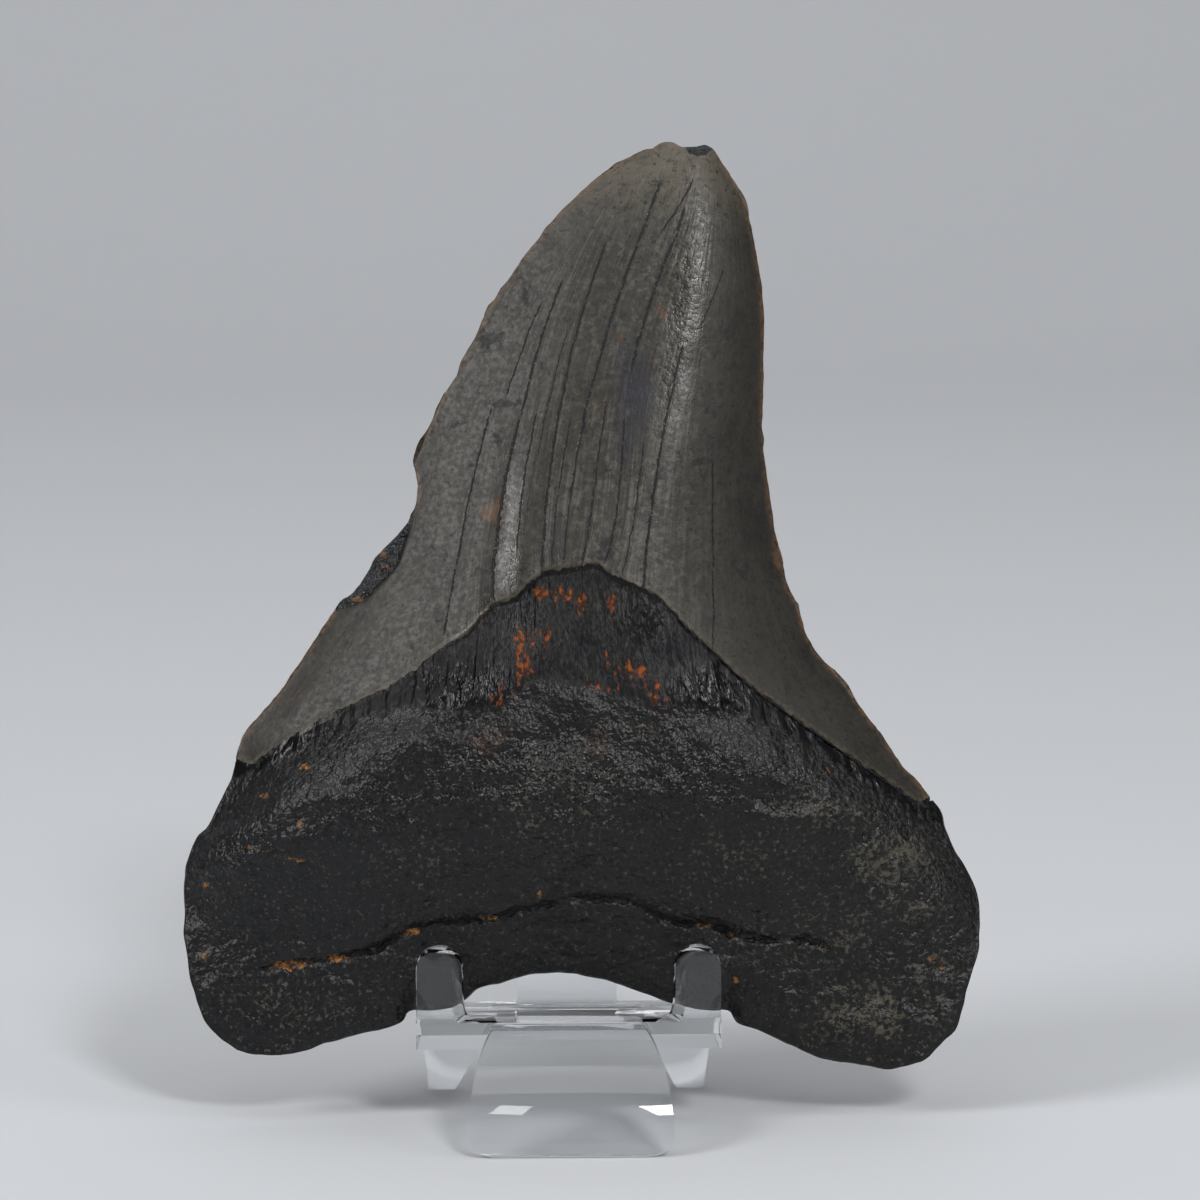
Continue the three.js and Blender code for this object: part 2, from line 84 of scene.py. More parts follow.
# Outline of the tooth in photograph pixels: the broken tip, then both sides going down
TIP_EDGE = [
    (630, 157), (638, 152), (646, 149), (653, 148), (660, 143.5), (667, 142), (674, 143),
    (682, 146.5), (694, 146.5), (704, 145), (709, 146.5), (713, 149), (718, 156), (722, 163),
]
LEFT_CROWN_EDGE = [
    (630, 157), (615, 164), (601, 174), (590, 184), (581, 193), (570, 202), (560, 212), (548, 226),
    (537, 240), (523, 258), (512, 273), (503, 286), (494, 299), (489, 306), (484, 319), (478, 331),
    (476, 335), (470, 346), (462, 362), (456, 374), (453, 380), (445, 393), (438, 406), (431, 421),
    (422, 437), (415, 449), (412, 462), (416, 474), (417, 489), (416, 506), (411, 515), (403, 529),
    (394, 539), (384, 548), (376, 557), (368, 570), (358, 587), (352, 595), (340, 602), (330, 618),
    (318, 635), (303, 657), (287, 680), (276, 695), (266, 708), (257, 717), (249, 726), (243, 735),
    (239, 744), (236, 757),
]
RIGHT_CROWN_EDGE = [
    (722, 163), (732, 177), (742, 193), (748, 210), (751, 226), (755, 243), (757, 258), (761, 280),
    (763, 304), (764, 327), (764, 350), (763, 380), (762, 408), (763, 430), (764, 449), (766, 470),
    (769, 491), (771, 508), (774, 523), (776, 538), (780, 551), (784, 570), (788, 587), (795, 599),
    (799, 604), (801, 618), (807, 636), (815, 650), (829, 666), (844, 680), (855, 698), (865, 713),
    (880, 733), (896, 756), (904, 767), (913, 776), (922, 787), (930, 797),
]
# The crown's sides without their chips and notches, which the inside of each face follows
LEFT_CROWN_FLOW = [
    (630, 157), (558, 208), (500, 285), (452, 378), (414, 466), (382, 540), (338, 606), (286, 676),
    (250, 724), (236, 757),
]
RIGHT_CROWN_FLOW = [
    (722, 163), (751, 222), (763, 300), (765, 400), (772, 510), (790, 590), (816, 648), (864, 712),
    (930, 797),
]
LEFT_ROOT_EDGE = [
    (236, 757), (232, 780), (220, 806), (208, 828), (197, 838), (187, 861), (183, 878), (184, 921),
    (187, 950), (192, 983), (202, 1018), (218, 1037), (237, 1050),
]
RIGHT_ROOT_EDGE = [
    (930, 797), (942, 812), (947, 830), (956, 852), (971, 878), (977, 899), (978, 916), (977, 950),
    (971, 976), (964, 1006), (956, 1028), (944, 1040), (930, 1056),
]
ARCH_EDGE = [
    (237, 1050), (252, 1055), (270, 1057), (290, 1054), (325, 1043), (366, 1033), (400, 1022),
    (409, 1012), (430, 1009), (464, 1001), (480, 989), (501, 984), (529, 976), (561, 972),
    (584, 976), (630, 988), (671, 1003), (708, 1008.5), (730, 1010), (739, 1022), (763, 1031),
    (797, 1049), (815, 1056), (840, 1061), (884, 1069), (901, 1068), (920, 1063), (930, 1056),
]

# Lower edge of the enamel on each face, and the lower edge of the dark band under it
LINGUAL_ENAMEL_EDGE = [
    (236, 757), (254, 764), (272, 750), (300, 733), (326, 719), (352, 706), (378, 694), (404, 680),
    (424, 664), (440, 652), (455, 643), (468, 635), (480, 622), (495, 607), (505, 605), (516, 600),
    (528, 588), (542, 576), (560, 574), (578, 571), (594, 569), (603, 575), (613, 582), (632, 590),
    (653, 599), (668, 614), (684, 631), (700, 645), (715, 659), (735, 678), (756, 695), (784, 714),
    (811, 733), (840, 752), (867, 770), (895, 788), (917, 802), (930, 797),
]
LABIAL_ENAMEL_EDGE = [
    (236, 757), (300, 782), (370, 790), (450, 786), (530, 776), (590, 772), (650, 778), (730, 794),
    (810, 808), (880, 812), (930, 797),
]
LINGUAL_BAND_EDGE = [
    (200, 800), (236, 778), (262, 768), (300, 750), (350, 724), (390, 712), (422, 712), (453, 713),
    (494, 710), (515, 698), (536, 686), (577, 689), (632, 706), (668, 711), (701, 713), (742, 720),
    (770, 728), (811, 750), (867, 787), (917, 818), (960, 830),
]
LABIAL_BAND_EDGE = [
    (200, 772), (236, 768), (300, 795), (370, 803), (450, 799), (530, 789), (590, 785), (650, 791),
    (730, 807), (810, 821), (880, 825), (960, 812),
]

# Half thickness of each level slice at its thickest, as (photograph row, millimetres)
LINGUAL_DEPTH = [
    (143, 1.2), (170, 2.8), (220, 4.5), (300, 6.3), (400, 8.2), (500, 9.9), (600, 11.6),
    (700, 13.2), (780, 14), (840, 12.5), (900, 8.1), (940, 4.35), (1000, 1.8), (1070, 1.8),
]
LABIAL_DEPTH = [
    (143, 0.8), (170, 1.6), (220, 2.1), (300, 2.5), (400, 2.9), (500, 3.2), (600, 3.6), (700, 4.2),
    (780, 4.6), (840, 4.7), (900, 4.5), (940, 4.8), (1000, 5.9), (1070, 6.2),
]

# Where the crest runs across each slice, as (photograph row, share of the way from left to right)
LINGUAL_CREST = [(143, 0.7), (400, 0.7), (600, 0.6), (1070, 0.6)]
LABIAL_CREST = [(143, 0.5), (1070, 0.5)]
ROOT_CREST = 0.5
CROWN_BREADTH = 2.05
CROWN_EDGE_POWER = 0.95
ROOT_BREADTH = 3.5
ROOT_EDGE_POWER = 0.6
SECTION_LINE = [(236, 770), (575, 600), (930, 810)]
SECTION_ABOVE = 2.0
SECTION_BELOW = 9.0
RIM_RADIUS = 7.0
ENAMEL_STEP = 0.45
ENAMEL_STEP_WIDTH = 0.5
CHIP_REACH = 0.08

# Small nicks in each edge, as (size in mm, depth in mm, seed)
TIP_NICKS = (1.5, 0.05, 5)
LEFT_NICKS = (1.6, 0.13, 3)
RIGHT_NICKS = (1.6, 0.11, 4)
LEFT_ROOT_NICKS = (5, 0.22, 7)
RIGHT_ROOT_NICKS = (5, 0.22, 8)
ARCH_NICKS = (4, 0.2, 9)

# Grid of the lingual face; the labial face has half as many rows and columns
COLUMNS = 260
CROWN_ROWS = 170
ROOT_ROWS = 110
SIDE_CROWDING = 0.55
ARCH_CROWDING = 0.6

# Growth lines of the crown, from its base to the tip, between its left and right sides
GUIDE_LINES = [
    [(440, 652), (452, 614), (454, 587), (459, 554), (464, 525), (471, 489), (474, 472),
     (483, 434), (500, 385), (520, 335), (548, 275), (585, 215), (640, 160)],
    [(493, 640), (495, 606), (494, 576), (495, 540), (500, 514), (506, 475), (511, 452),
     (516, 427), (524, 407), (531, 383), (537, 356), (546, 329), (556, 298), (575, 255),
     (603, 205), (648, 155)],
    [(543, 610), (542, 576), (540, 545), (545, 514), (548, 500), (551, 472), (554, 436),
     (559, 414), (564, 386), (571, 353), (584, 311), (592, 287), (601, 255), (625, 205),
     (657, 152)],
    [(560, 600), (562, 552), (566, 520), (571, 489), (577, 456), (582, 427), (591, 394),
     (599, 356), (610, 323), (618, 300), (627, 267), (636, 249), (646, 224), (658, 196),
     (672, 150)],
    [(600, 575), (612, 532), (615, 499), (622, 457), (628, 400), (632, 360), (643, 324),
     (650, 298), (659, 279), (672, 249), (682, 219), (690, 150)],
    [(640, 590), (643, 557), (648, 524), (651, 496), (656, 462), (661, 441), (666, 416),
     (673, 378), (683, 340), (697, 290), (705, 240), (706, 190), (704, 150)],
    [(709, 652), (710, 576), (711, 532), (710, 480), (712, 420), (716, 350), (720, 300),
     (722, 240), (718, 190), (711, 150)],
]
GUIDE_DEGREE = 4
GUIDE_POINTS = 60
LEAST_GAP = 0.2

# Fissures: growth line and row at the top end, the same at the lower end, half width in mm
FISSURES = [
    (1, 415, 1, 632, 0.09), (2, 290, 2, 470, 0.11), (2, 470, 2, 616, 0.17),
    (2.41, 422, 2.44, 552, 0.08), (3, 250, 3, 500, 0.11), (3, 500, 3, 580, 0.14),
    (4, 190, 4, 440, 0.15), (4, 440, 4, 562, 0.09), (5.08, 186, 4.6, 232, 0.09),
    (5, 216, 5, 372, 0.16), (5, 430, 5, 562, 0.08), (6, 355, 6, 480, 0.12), (6, 480, 6, 596, 0.13),
    (7, 275, 6.45, 328, 0.06), (7, 470, 7, 655, 0.07), (1.45, 310, 1.4, 395, 0.07),
    (3.5, 430, 3.45, 566, 0.07), (4.5, 415, 4.45, 570, 0.09), (5.55, 455, 5.5, 575, 0.06),
    (2.7, 340, 2.65, 452, 0.05),
]

# Swelling of the enamel between growth lines at the crown's base, in mm
BASE_SWELLING = [
    (0.5, 0.1), (1.5, 0.32), (2.5, 0.45), (3.5, 0.16), (4.5, 0.12), (5.5, 0.14), (6.5, 0.14),
    (7.5, 0),
]

# Crack across the root
CRACK = [
    (266, 969), (283, 964), (307, 961), (326, 959), (352, 954), (378, 949), (395, 937), (412, 930),
    (438, 923), (449, 921), (497, 919), (516, 911), (540, 906), (563, 900), (584, 898), (627, 899),
    (647, 911), (661, 919), (684, 924), (712, 924), (729, 935), (763, 939), (806, 939), (824, 947),
]

# Chip on the left cutting edge that bares the dark inside, and the broken tip
SIDE_CHIP = [
    (418, 500), (411, 526), (399, 566), (387, 580), (368, 599), (354, 607), (336, 612), (330, 590),
    (370, 545), (405, 505),
]
TIP_CHIP = [(681, 140), (714, 140), (713, 150), (706, 156), (697, 158), (689, 155), (684, 148)]

# Soft marks of the lingual face by field, as (column, row, half width, half height, strength)
LINGUAL_MARKS = {
    "dark_smudge": [
        (525, 299, 5, 12, 0.8), (488, 338, 20, 14, 0.7), (503, 406, 24, 5, 1),
        (497, 440, 6, 12, 0.7), (601, 556, 12, 18, 1), (738, 573, 14, 14, 0.6),
        (752, 520, 16, 40, 0.45), (583, 430, 5, 9, 0.7), (490, 352, 18, 5, 0.6),
        (450, 430, 20, 14, 0.35), (695, 466, 20, 4, 0.8), (705, 417, 16, 4, 0.8),
        (800, 680, 14, 22, 0.4), (660, 478, 12, 10, 0.35), (520, 280, 30, 20, 0.25),
    ],
    # Dark blue patch over the crown's middle: partly a blue tint, partly painted shade of a shallow
    # hollow
    "blue_stain": [
        (634, 395, 22, 60, 1), (622, 445, 14, 26, 0.7), (555, 545, 12, 28, 0.5),
    ],
    "warm_stain": [
        (490, 515, 14, 16, 1), (660, 317, 7, 14, 0.6), (777, 552, 8, 20, 0.9),
        (622, 336, 12, 9, 0.45), (700, 158, 12, 7, 0.5), (930, 790, 16, 14, 0.8),
        (300, 700, 30, 22, 0.3),
    ],
    "rust": [
        (542, 597, 14, 9, 1), (580, 608, 9, 12, 0.9), (610, 605, 8, 12, 1),
        (560, 600, 30, 10, 0.5), (522, 655, 13, 40, 0.7), (545, 640, 9, 24, 0.45),
        (605, 660, 8, 14, 0.6), (632, 676, 26, 14, 0.7), (655, 700, 22, 16, 0.55),
        (600, 690, 26, 10, 0.4), (500, 700, 22, 14, 0.5), (480, 640, 8, 8, 0.6),
    ],
    "ochre": [
        (306, 768, 12, 6, 1), (265, 797, 10, 5, 0.8), (302, 826, 5, 9, 1), (303, 859, 18, 5, 0.8),
        (205, 885, 9, 5, 0.8), (205, 955, 5, 8, 0.8), (203, 985, 5, 5, 0.8),
        (300, 1018, 9, 6, 0.8), (735, 980, 5, 5, 0.8), (930, 960, 7, 5, 0.8),
        (940, 966, 5, 5, 0.7), (825, 770, 8, 4, 0.8), (255, 850, 26, 8, 0.5),
        (220, 930, 8, 14, 0.5), (290, 965, 26, 7, 1), (335, 958, 16, 5, 0.9), (412, 931, 14, 6, 1),
        (538, 895, 5, 6, 1), (490, 917, 12, 5, 0.9), (402, 868, 8, 4, 0.7), (700, 926, 14, 5, 0.7),
        (730, 934, 10, 5, 0.7), (240, 885, 24, 10, 0.4), (825, 946, 8, 4, 0.7),
        (400, 690, 10, 8, 0.6), (380, 600, 14, 5, 0.9), (360, 600, 10, 6, 0.9),
        (385, 560, 6, 14, 0.7),
    ],
    "brown_patch": [
        (485, 745, 28, 16, 1), (595, 750, 20, 22, 0.8), (870, 1020, 40, 26, 0.35),
        (640, 735, 20, 14, 0.4),
    ],
    "polish": [
        (700, 235, 30, 40, 0.7), (692, 275, 32, 50, 0.9), (684, 325, 30, 60, 0.9),
        (674, 375, 26, 60, 0.7), (664, 420, 20, 40, 0.5), (514, 520, 18, 50, 0.7),
        (512, 570, 22, 40, 0.9), (486, 612, 12, 24, 1), (640, 205, 40, 40, 0.3),
        (470, 636, 18, 14, 0.7), (672, 180, 44, 34, 0.5), (555, 560, 14, 26, 0.4),
    ],
    "glossy_grain": [
        (560, 790, 90, 62, 1), (480, 780, 60, 35, 0.8), (700, 780, 80, 40, 0.8),
        (390, 810, 60, 30, 0.6), (890, 850, 80, 70, 0.8), (560, 850, 60, 24, 0.9),
        (790, 780, 70, 34, 0.6), (250, 850, 50, 40, 0.4), (620, 730, 90, 20, 0.4),
        (930, 930, 30, 60, 0.4), (465, 690, 60, 34, 1), (712, 695, 56, 34, 1),
        (520, 630, 30, 40, 0.5), (640, 620, 40, 40, 0.4), (800, 745, 50, 20, 0.4),
        (330, 740, 50, 20, 0.35),
    ],
    # Pale grains of the root: partly its own pale speckles, partly painted glints
    "pale_grain": [
        (820, 815, 60, 24, 0.6), (890, 860, 56, 34, 1), (900, 905, 50, 24, 0.7),
        (830, 930, 90, 40, 0.4), (870, 1010, 80, 40, 0.7), (560, 800, 90, 60, 0.35),
        (290, 1000, 80, 30, 0.4), (930, 980, 30, 40, 0.6), (740, 860, 70, 30, 0.35),
        (420, 860, 60, 30, 0.3),
    ],
}


def tone(red, green, blue):
    """Display tones from 0 to 255 as a linear colour."""
    parts = [part / 255 for part in (red, green, blue)]
    return tuple(p / 12.92 if p <= 0.04045 else ((p + 0.055) / 1.055) ** 2.4 for p in parts)


def smoothstep(low, high, value):
    share = np.clip((value - low) / (high - low), 0, 1)
    return share * share * (3 - 2 * share)


def view_axes():
    """Directions ahead, to the right and above in the photograph's view."""
    down, aside = VIEW_DOWN, VIEW_ASIDE
    ahead = (-math.sin(aside) * math.cos(down), math.cos(aside) * math.cos(down), -math.sin(down))
    right = np.array((math.cos(aside), math.sin(aside), 0))
    return np.array(ahead), right, np.cross(right, ahead)


def rays(pixels):
    """Rays through photograph pixels that go one millimetre deep."""
    ahead, right, above = view_axes()
    offsets = (np.asarray(pixels, float) - PHOTO_SIDE / 2) / FOCAL_PIXELS
    return ahead + offsets[:, :1] * right - offsets[:, 1:] * above


def camera_place():
    """Where the camera stands, in mm from the ground under the middle of the shelf's front edge."""
    return np.array((0, 0, SHELF_TOP)) - rays([SHELF_PIXEL])[0] * SHELF_DISTANCE


def bend_at(up):
    """How far the root stands forward of the flat plane at a height over the seat."""
    return ROOT_BEND * smoothstep(BEND_TOP, BEND_BOTTOM, up)


def to_plane(pixels):
    """Photograph pixels as millimetres across and up the tooth's own plane."""
    forward = np.array((0, -math.cos(LEAN), math.sin(LEAN)))
    upward = np.array((0, math.sin(LEAN), math.cos(LEAN)))
    start = camera_place() - (0, SEAT_BEHIND_FRONT, SHELF_TOP + SEAT_HEIGHT)
    through = rays(pixels)
    up = np.zeros(len(through))
    for _ in range(BEND_PASSES):
        depth = (bend_at(up) - start @ forward) / (through @ forward)
        place = start + through * depth[:, None]
        up = place @ upward
    return np.stack([place[:, 0], up], -1)


def up_at(row):
    return to_plane([(SHELF_PIXEL[0], row)])[0, 1]


def smooth_line(points, spans=16):
    """Dense line on a smooth curve through points."""
    points = np.asarray(points, float)
    padded = np.vstack([points[:1], points, points[-1:]])
    t = np.linspace(0, 1, spans, endpoint=False)[:, None]
    pieces = []
    for a, b, c, d in zip(padded, padded[1:], padded[2:], padded[3:]):
        square = (2 * a - 5 * b + 4 * c - d) * t**2
        cube = (3 * b - a - 3 * c + d) * t**3
        pieces.append(0.5 * (2 * b + (c - a) * t + square + cube))
    return np.vstack([*pieces, points[-1:]])


def drawn(pixels, spans=6):
    """Dense smooth line through photograph pixels, on the tooth's plane."""
    return smooth_line(to_plane(pixels), spans)


def even_curve(points):
    """Dense line on the evenest curve past points that run from bottom to top."""
    up = np.linspace(points[0, 1], points[-1, 1], GUIDE_POINTS)
    curve = np.polyfit(points[:, 1], points[:, 0], GUIDE_DEGREE)
    return np.stack([np.polyval(curve, up), up], -1)


def along(line, shares):
    """Points of a line at shares of its length."""
    steps = np.linalg.norm(np.diff(line, axis=0), axis=1)
    reach = np.concatenate([[0], np.cumsum(steps)])
    places = np.asarray(shares) * reach[-1]
    return np.stack([np.interp(places, reach, line[:, k]) for k in (0, 1)], -1)


def column_at(line, up):
    """How far across a line stands at each height."""
    order = np.argsort(line[:, 1])
    return np.interp(up, line[order, 1], line[order, 0])


def distance_to(line, x, up):
    """Distance of points to a line of points."""
    least = np.full(np.shape(x), np.inf)
    for (ax, ay), (bx, by) in zip(line, line[1:]):
        dx, dy = bx - ax, by - ay
        share = np.clip(((x - ax) * dx + (up - ay) * dy) / max(dx * dx + dy * dy, 1e-9), 0, 1)
        least = np.minimum(least, np.hypot(x - ax - share * dx, up - ay - share * dy))
    return least


def below(line, x, up):
    """Distance below a line that runs from left to right, negative above it."""
    level = np.interp(x, line[:, 0], line[:, 1])
    return distance_to(line, x, up) * np.sign(level - up)


def inside(loop, x, up):
    """Distance inside a closed loop of points, negative outside it."""
    closed = np.vstack([loop, loop[:1]])
    odd = np.zeros(np.shape(x), bool)
    for (ax, ay), (bx, by) in zip(closed, closed[1:]):
        if ay == by:
            continue
        crosses = (up < ay) != (up < by)
        odd ^= crosses & (x < ax + (up - ay) / (by - ay) * (bx - ax))
    return distance_to(closed, x, up) * np.where(odd, 1, -1)


# A mark is full within the first share of its reach and gone at the second
MARK_FADE = (0.2, 1.3)


def marks(spots, x, up):
    """Soft marks, each with its own strength at its middle."""
    field = np.zeros(np.shape(x))
    for column, row, half_width, half_height, strength in spots:
        [[centre_x, centre_up]] = to_plane([(column, row)])
        reach = np.hypot((x - centre_x) / half_width, (up - centre_up) / half_height) / PIXEL
        field = np.maximum(field, strength * (1 - smoothstep(*MARK_FADE, reach)))
    return field


CLOUD_CELLS = 256
CLOUD_SHIFT = (37.3, 11.9)


def cloud(x, y, size, seed, octaves=3):
    """Smooth seeded noise from about -1 to 1, in lumps of about the given size."""
    table = np.random.default_rng(seed).uniform(-1, 1, (CLOUD_CELLS, CLOUD_CELLS))
    total = np.zeros(np.broadcast(x, y).shape)
    for octave in range(octaves):
        u, v = (c / size * 2**octave + shift * octave for c, shift in zip((x, y), CLOUD_SHIFT))
        ui, vi = np.floor(u).astype(int), np.floor(v).astype(int)
        su, sv = smoothstep(0, 1, u - ui), smoothstep(0, 1, v - vi)
        near, far = ui % CLOUD_CELLS, (ui + 1) % CLOUD_CELLS
        low, high = (table[near, k] * (1 - su) + table[far, k] * su
                     for k in (vi % CLOUD_CELLS, (vi + 1) % CLOUD_CELLS))
        total += (low * (1 - sv) + high * sv) / 2**octave
    return total


def lumpy(x, y, layers):
    """Sum of clouds that are given as (size in mm, height in mm, seed, octaves)."""
    return sum(cloud(x, y, size, seed, octaves) * height for size, height, seed, octaves in layers)


def crowded(steps, pull, turns):
    """Shares from 0 to 1 that a sine of some half turns pulls together."""
    even = np.linspace(0, 1, steps + 1)
    return even + pull * np.sin(turns * np.pi * even) / (turns * np.pi)


def fill_patch(top, bottom, left, right, across, down):
    """Grid of points filled in between four edges that meet at their ends."""
    across = across[None, :, None]
    down = down[:, None, None]
    sides = left[:, None] * (1 - across) + right[:, None] * across
    ends = top[None] * (1 - down) + bottom[None] * down
    upper = top[0] * (1 - across) + top[-1] * across
    lower = bottom[0] * (1 - across) + bottom[-1] * across
    return sides + ends - upper * (1 - down) - lower * down


def nibbled(line, size, depth, seed):
    """A line with small nicks square to it, none at its ends."""
    ahead = np.gradient(line, axis=0)
    square = np.stack([-ahead[:, 1], ahead[:, 0]], -1) / np.linalg.norm(ahead, axis=1)[:, None]
    steps = np.linalg.norm(np.diff(line, axis=0), axis=1)
    reach = np.concatenate([[0], np.cumsum(steps)])
    fade = np.clip(np.minimum(reach, reach[-1] - reach) / 2, 0, 1)
    return line + square * (cloud(reach, 0 * reach, size, seed) * depth * fade)[:, None]


class ToothPlan:
    """The tooth's flat outline and the fields that its faces share, all in millimetres."""

    def __init__(self):
        self.left_flow = drawn(LEFT_CROWN_FLOW, 16)
        self.right_flow = drawn(RIGHT_CROWN_FLOW, 16)
        self.left_side = drawn(LEFT_CROWN_FLOW + LEFT_ROOT_EDGE[1:], 16)
        self.right_side = drawn(RIGHT_CROWN_FLOW + RIGHT_ROOT_EDGE[1:], 16)
        self.root_rim = np.vstack([
            to_plane(LEFT_ROOT_EDGE), to_plane(ARCH_EDGE)[1:], to_plane(RIGHT_ROOT_EDGE)[::-1][1:],
        ])
        self.outline = np.vstack([
            to_plane(TIP_EDGE), to_plane(RIGHT_CROWN_EDGE)[1:], to_plane(RIGHT_ROOT_EDGE)[1:],
            to_plane(ARCH_EDGE)[::-1][1:], to_plane(LEFT_ROOT_EDGE)[::-1][1:],
            to_plane(LEFT_CROWN_EDGE)[::-1][1:],
        ])
        guides = [even_curve(to_plane(guide)) for guide in GUIDE_LINES]
        self.guides = [self.left_flow, *guides, self.right_flow]

    def grid(self, enamel_edge, across, crown_down, root_down):
        """Flat points of one face: crown rows to the enamel's edge, then root rows."""
        edge = along(drawn(enamel_edge), across)
        step_edge = edge - (0, ENAMEL_STEP_WIDTH)
        tip_line = along(drawn(TIP_EDGE), np.linspace(0, 1, COLUMNS + 1))
        tip = along(nibbled(tip_line, *TIP_NICKS), across)
        left = along(self.left_flow, crown_down)
        right = along(self.right_flow, crown_down)
        crown = fill_patch(tip, edge, left, right, across, crown_down)
        crown = self.chipped(crown, across, crown_down)
        left_root = along(nibbled(drawn(LEFT_ROOT_EDGE, 16), *LEFT_ROOT_NICKS), root_down)
        right_root = along(nibbled(drawn(RIGHT_ROOT_EDGE, 16), *RIGHT_ROOT_NICKS), root_down)
        left_root[0], right_root[0] = step_edge[0], step_edge[-1]
        arch = along(nibbled(drawn(ARCH_EDGE, 16), *ARCH_NICKS), across)
        root = fill_patch(step_edge, arch, left_root, right_root, across, root_down)
        return np.vstack([crown, root])

    def chipped(self, crown, across, down):
        """Moves the outer columns out to the real sides, with their chips and notches."""
        left = along(nibbled(drawn(LEFT_CROWN_EDGE), *LEFT_NICKS), down)
        right = along(nibbled(drawn(RIGHT_CROWN_EDGE), *RIGHT_NICKS), down)
        to_left = np.clip(1 - across / CHIP_REACH, 0, 1) ** 2
        to_right = np.clip(1 - (1 - across) / CHIP_REACH, 0, 1) ** 2
        left_shift = (left - crown[:, 0])[:, None] * to_left[None, :, None]
        right_shift = (right - crown[:, -1])[:, None] * to_right[None, :, None]
        return crown + left_shift + right_shift

    def fan(self, x, up):
        """Number of the growth line at each point, and the millimetres to the next one."""
        lines = np.stack([column_at(guide, up) for guide in self.guides])
        gaps = np.maximum(np.diff(lines, axis=0), LEAST_GAP)
        shares = np.clip((x - lines[:-1]) / gaps, 0, 1)
        number = shares.sum(0)
        index = np.clip(np.floor(number), 0, len(gaps) - 1).astype(int)
        return number, np.take_along_axis(gaps, index[None], 0)[0]

    def depth(self, x, up, depth_knots, crest_knots):
        """Half thickness: a lens with cutting edges in the crown, round-edged in the root."""
        left, right = column_at(self.left_side, up), column_at(self.right_side, up)
        across = np.clip((x - left) / (right - left), 0, 1)
        section = to_plane(SECTION_LINE)
        drop = np.interp(x, section[:, 0], section[:, 1]) - up
        rooted = smoothstep(-SECTION_ABOVE, SECTION_BELOW, drop)
        crests = np.array([(share, up_at(row)) for row, share in crest_knots])
        crown_crest = column_at(crests, up)
        crest = crown_crest + (ROOT_CREST - crown_crest) * rooted
        side = np.where(across < crest, (crest - across) / crest, (across - crest) / (1 - crest))
        blade = np.maximum(0, 1 - side**CROWN_BREADTH) ** CROWN_EDGE_POWER
        inward = np.minimum(1, distance_to(self.root_rim, x, up) / RIM_RADIUS)
        rim = np.sqrt(1 - (1 - inward) ** 2)
        block = np.maximum(0, 1 - side**ROOT_BREADTH) ** ROOT_EDGE_POWER * rim
        knots = smooth_line([(up_at(row), depth) for row, depth in depth_knots])
        return column_at(knots[:, ::-1], up) * (blade + (block - blade) * rooted)


def face_fields(plan, x, up, enamel_edge, band_edge):
    """Fields over one face that both its relief and its finish follow."""
    number, gap = plan.fan(x, up)
    return {
        "fan": number,
        "fan_gap": gap,
        "enamel_drop": below(drawn(enamel_edge), x, up),
        "band_drop": below(drawn(band_edge), x, up),
        "rim_distance": distance_to(plan.outline, x, up),
    }


# Patches of the labial face, as (field, size in mm, seed, factor, what is added, most strength)
LABIAL_PATCHES = [
    ("warm_stain", 16, 31, 0.8, 0, 1), ("ochre", 9, 32, 1, -0.25, 0.7),
    ("brown_patch", 20, 33, 1, 0, 0.8), ("glossy_grain", 18, 34, 1, 0.3, 0.8),
    ("pale_grain", 24, 35, 1, 0.2, 0.7), ("polish", 20, 36, 1, 0.1, 0.6),
]
FAR_OFF = 50.0


def lingual_fields(plan, x, up):
    fields = face_fields(plan, x, up, LINGUAL_ENAMEL_EDGE, LINGUAL_BAND_EDGE)
    fields["crack"] = below(to_plane(CRACK), x, up)
    fields["side_chip"] = inside(to_plane(SIDE_CHIP), x, up)
    fields["tip_chip"] = inside(to_plane(TIP_CHIP), x, up)
    fields["lingual"] = np.ones(np.shape(x))
    for name, spots in LINGUAL_MARKS.items():
        fields[name] = marks(spots, x, up)
    return fields


def labial_fields(plan, x, up):
    fields = face_fields(plan, x, up, LABIAL_ENAMEL_EDGE, LABIAL_BAND_EDGE)
    fields["crack"] = np.full(np.shape(x), FAR_OFF)
    fields["side_chip"] = inside(to_plane(SIDE_CHIP), x, up) - 1
    fields["tip_chip"] = np.full(np.shape(x), -FAR_OFF)
    for name in ("lingual", "dark_smudge", "blue_stain", "rust"):
        fields[name] = np.zeros(np.shape(x))
    for name, size, seed, factor, added, most in LABIAL_PATCHES:
        fields[name] = np.clip(cloud(x, up, size, seed) * factor + added, 0, most)
    return fields


# Relief in mm; lumps as (size, height, seed, octaves), slopes as where they start and end
ENAMEL_LUMPS = [(13, 0.14, 41, 3), (4, 0.05, 42, 2)]
BAND_RIDGES = (1.3, 0.24, 43, 2)
BAND_TEETH = (1.1, 1.6, 44, 2)
BAND_GRAINS = (1.5, 0.05, 45, 3)
ROOT_LUMPS = (9, 0.35, 46, 3)
ROOT_GRAINS = (1.7, 1, 47, 2)
CHIP_LUMPS = (2.2, 0.4, 48, 3)
ROOT_KNOBS = (3.4, 0.16, 49, 2)
BAND_MIDDLE = 3.0
BAND_FAN = 0.006
BAND_DEPTH = 0.2
GROOVE_HALF_WIDTH = 0.45
GROOVE_DEPTH = 0.55
LIP_DEPTH = 0.3
LIP_WIDTH = 3
CHIP_DEPTH = 0.9
CHIP_SLOPE = (-0.15, 0.35)
RELIEF_FADE = 1.6
ENAMEL_LIP = 12
LIP_FADE = 4
TIP_LOSS = 0.8
TIP_SLOPE = (-0.2, 0.5)


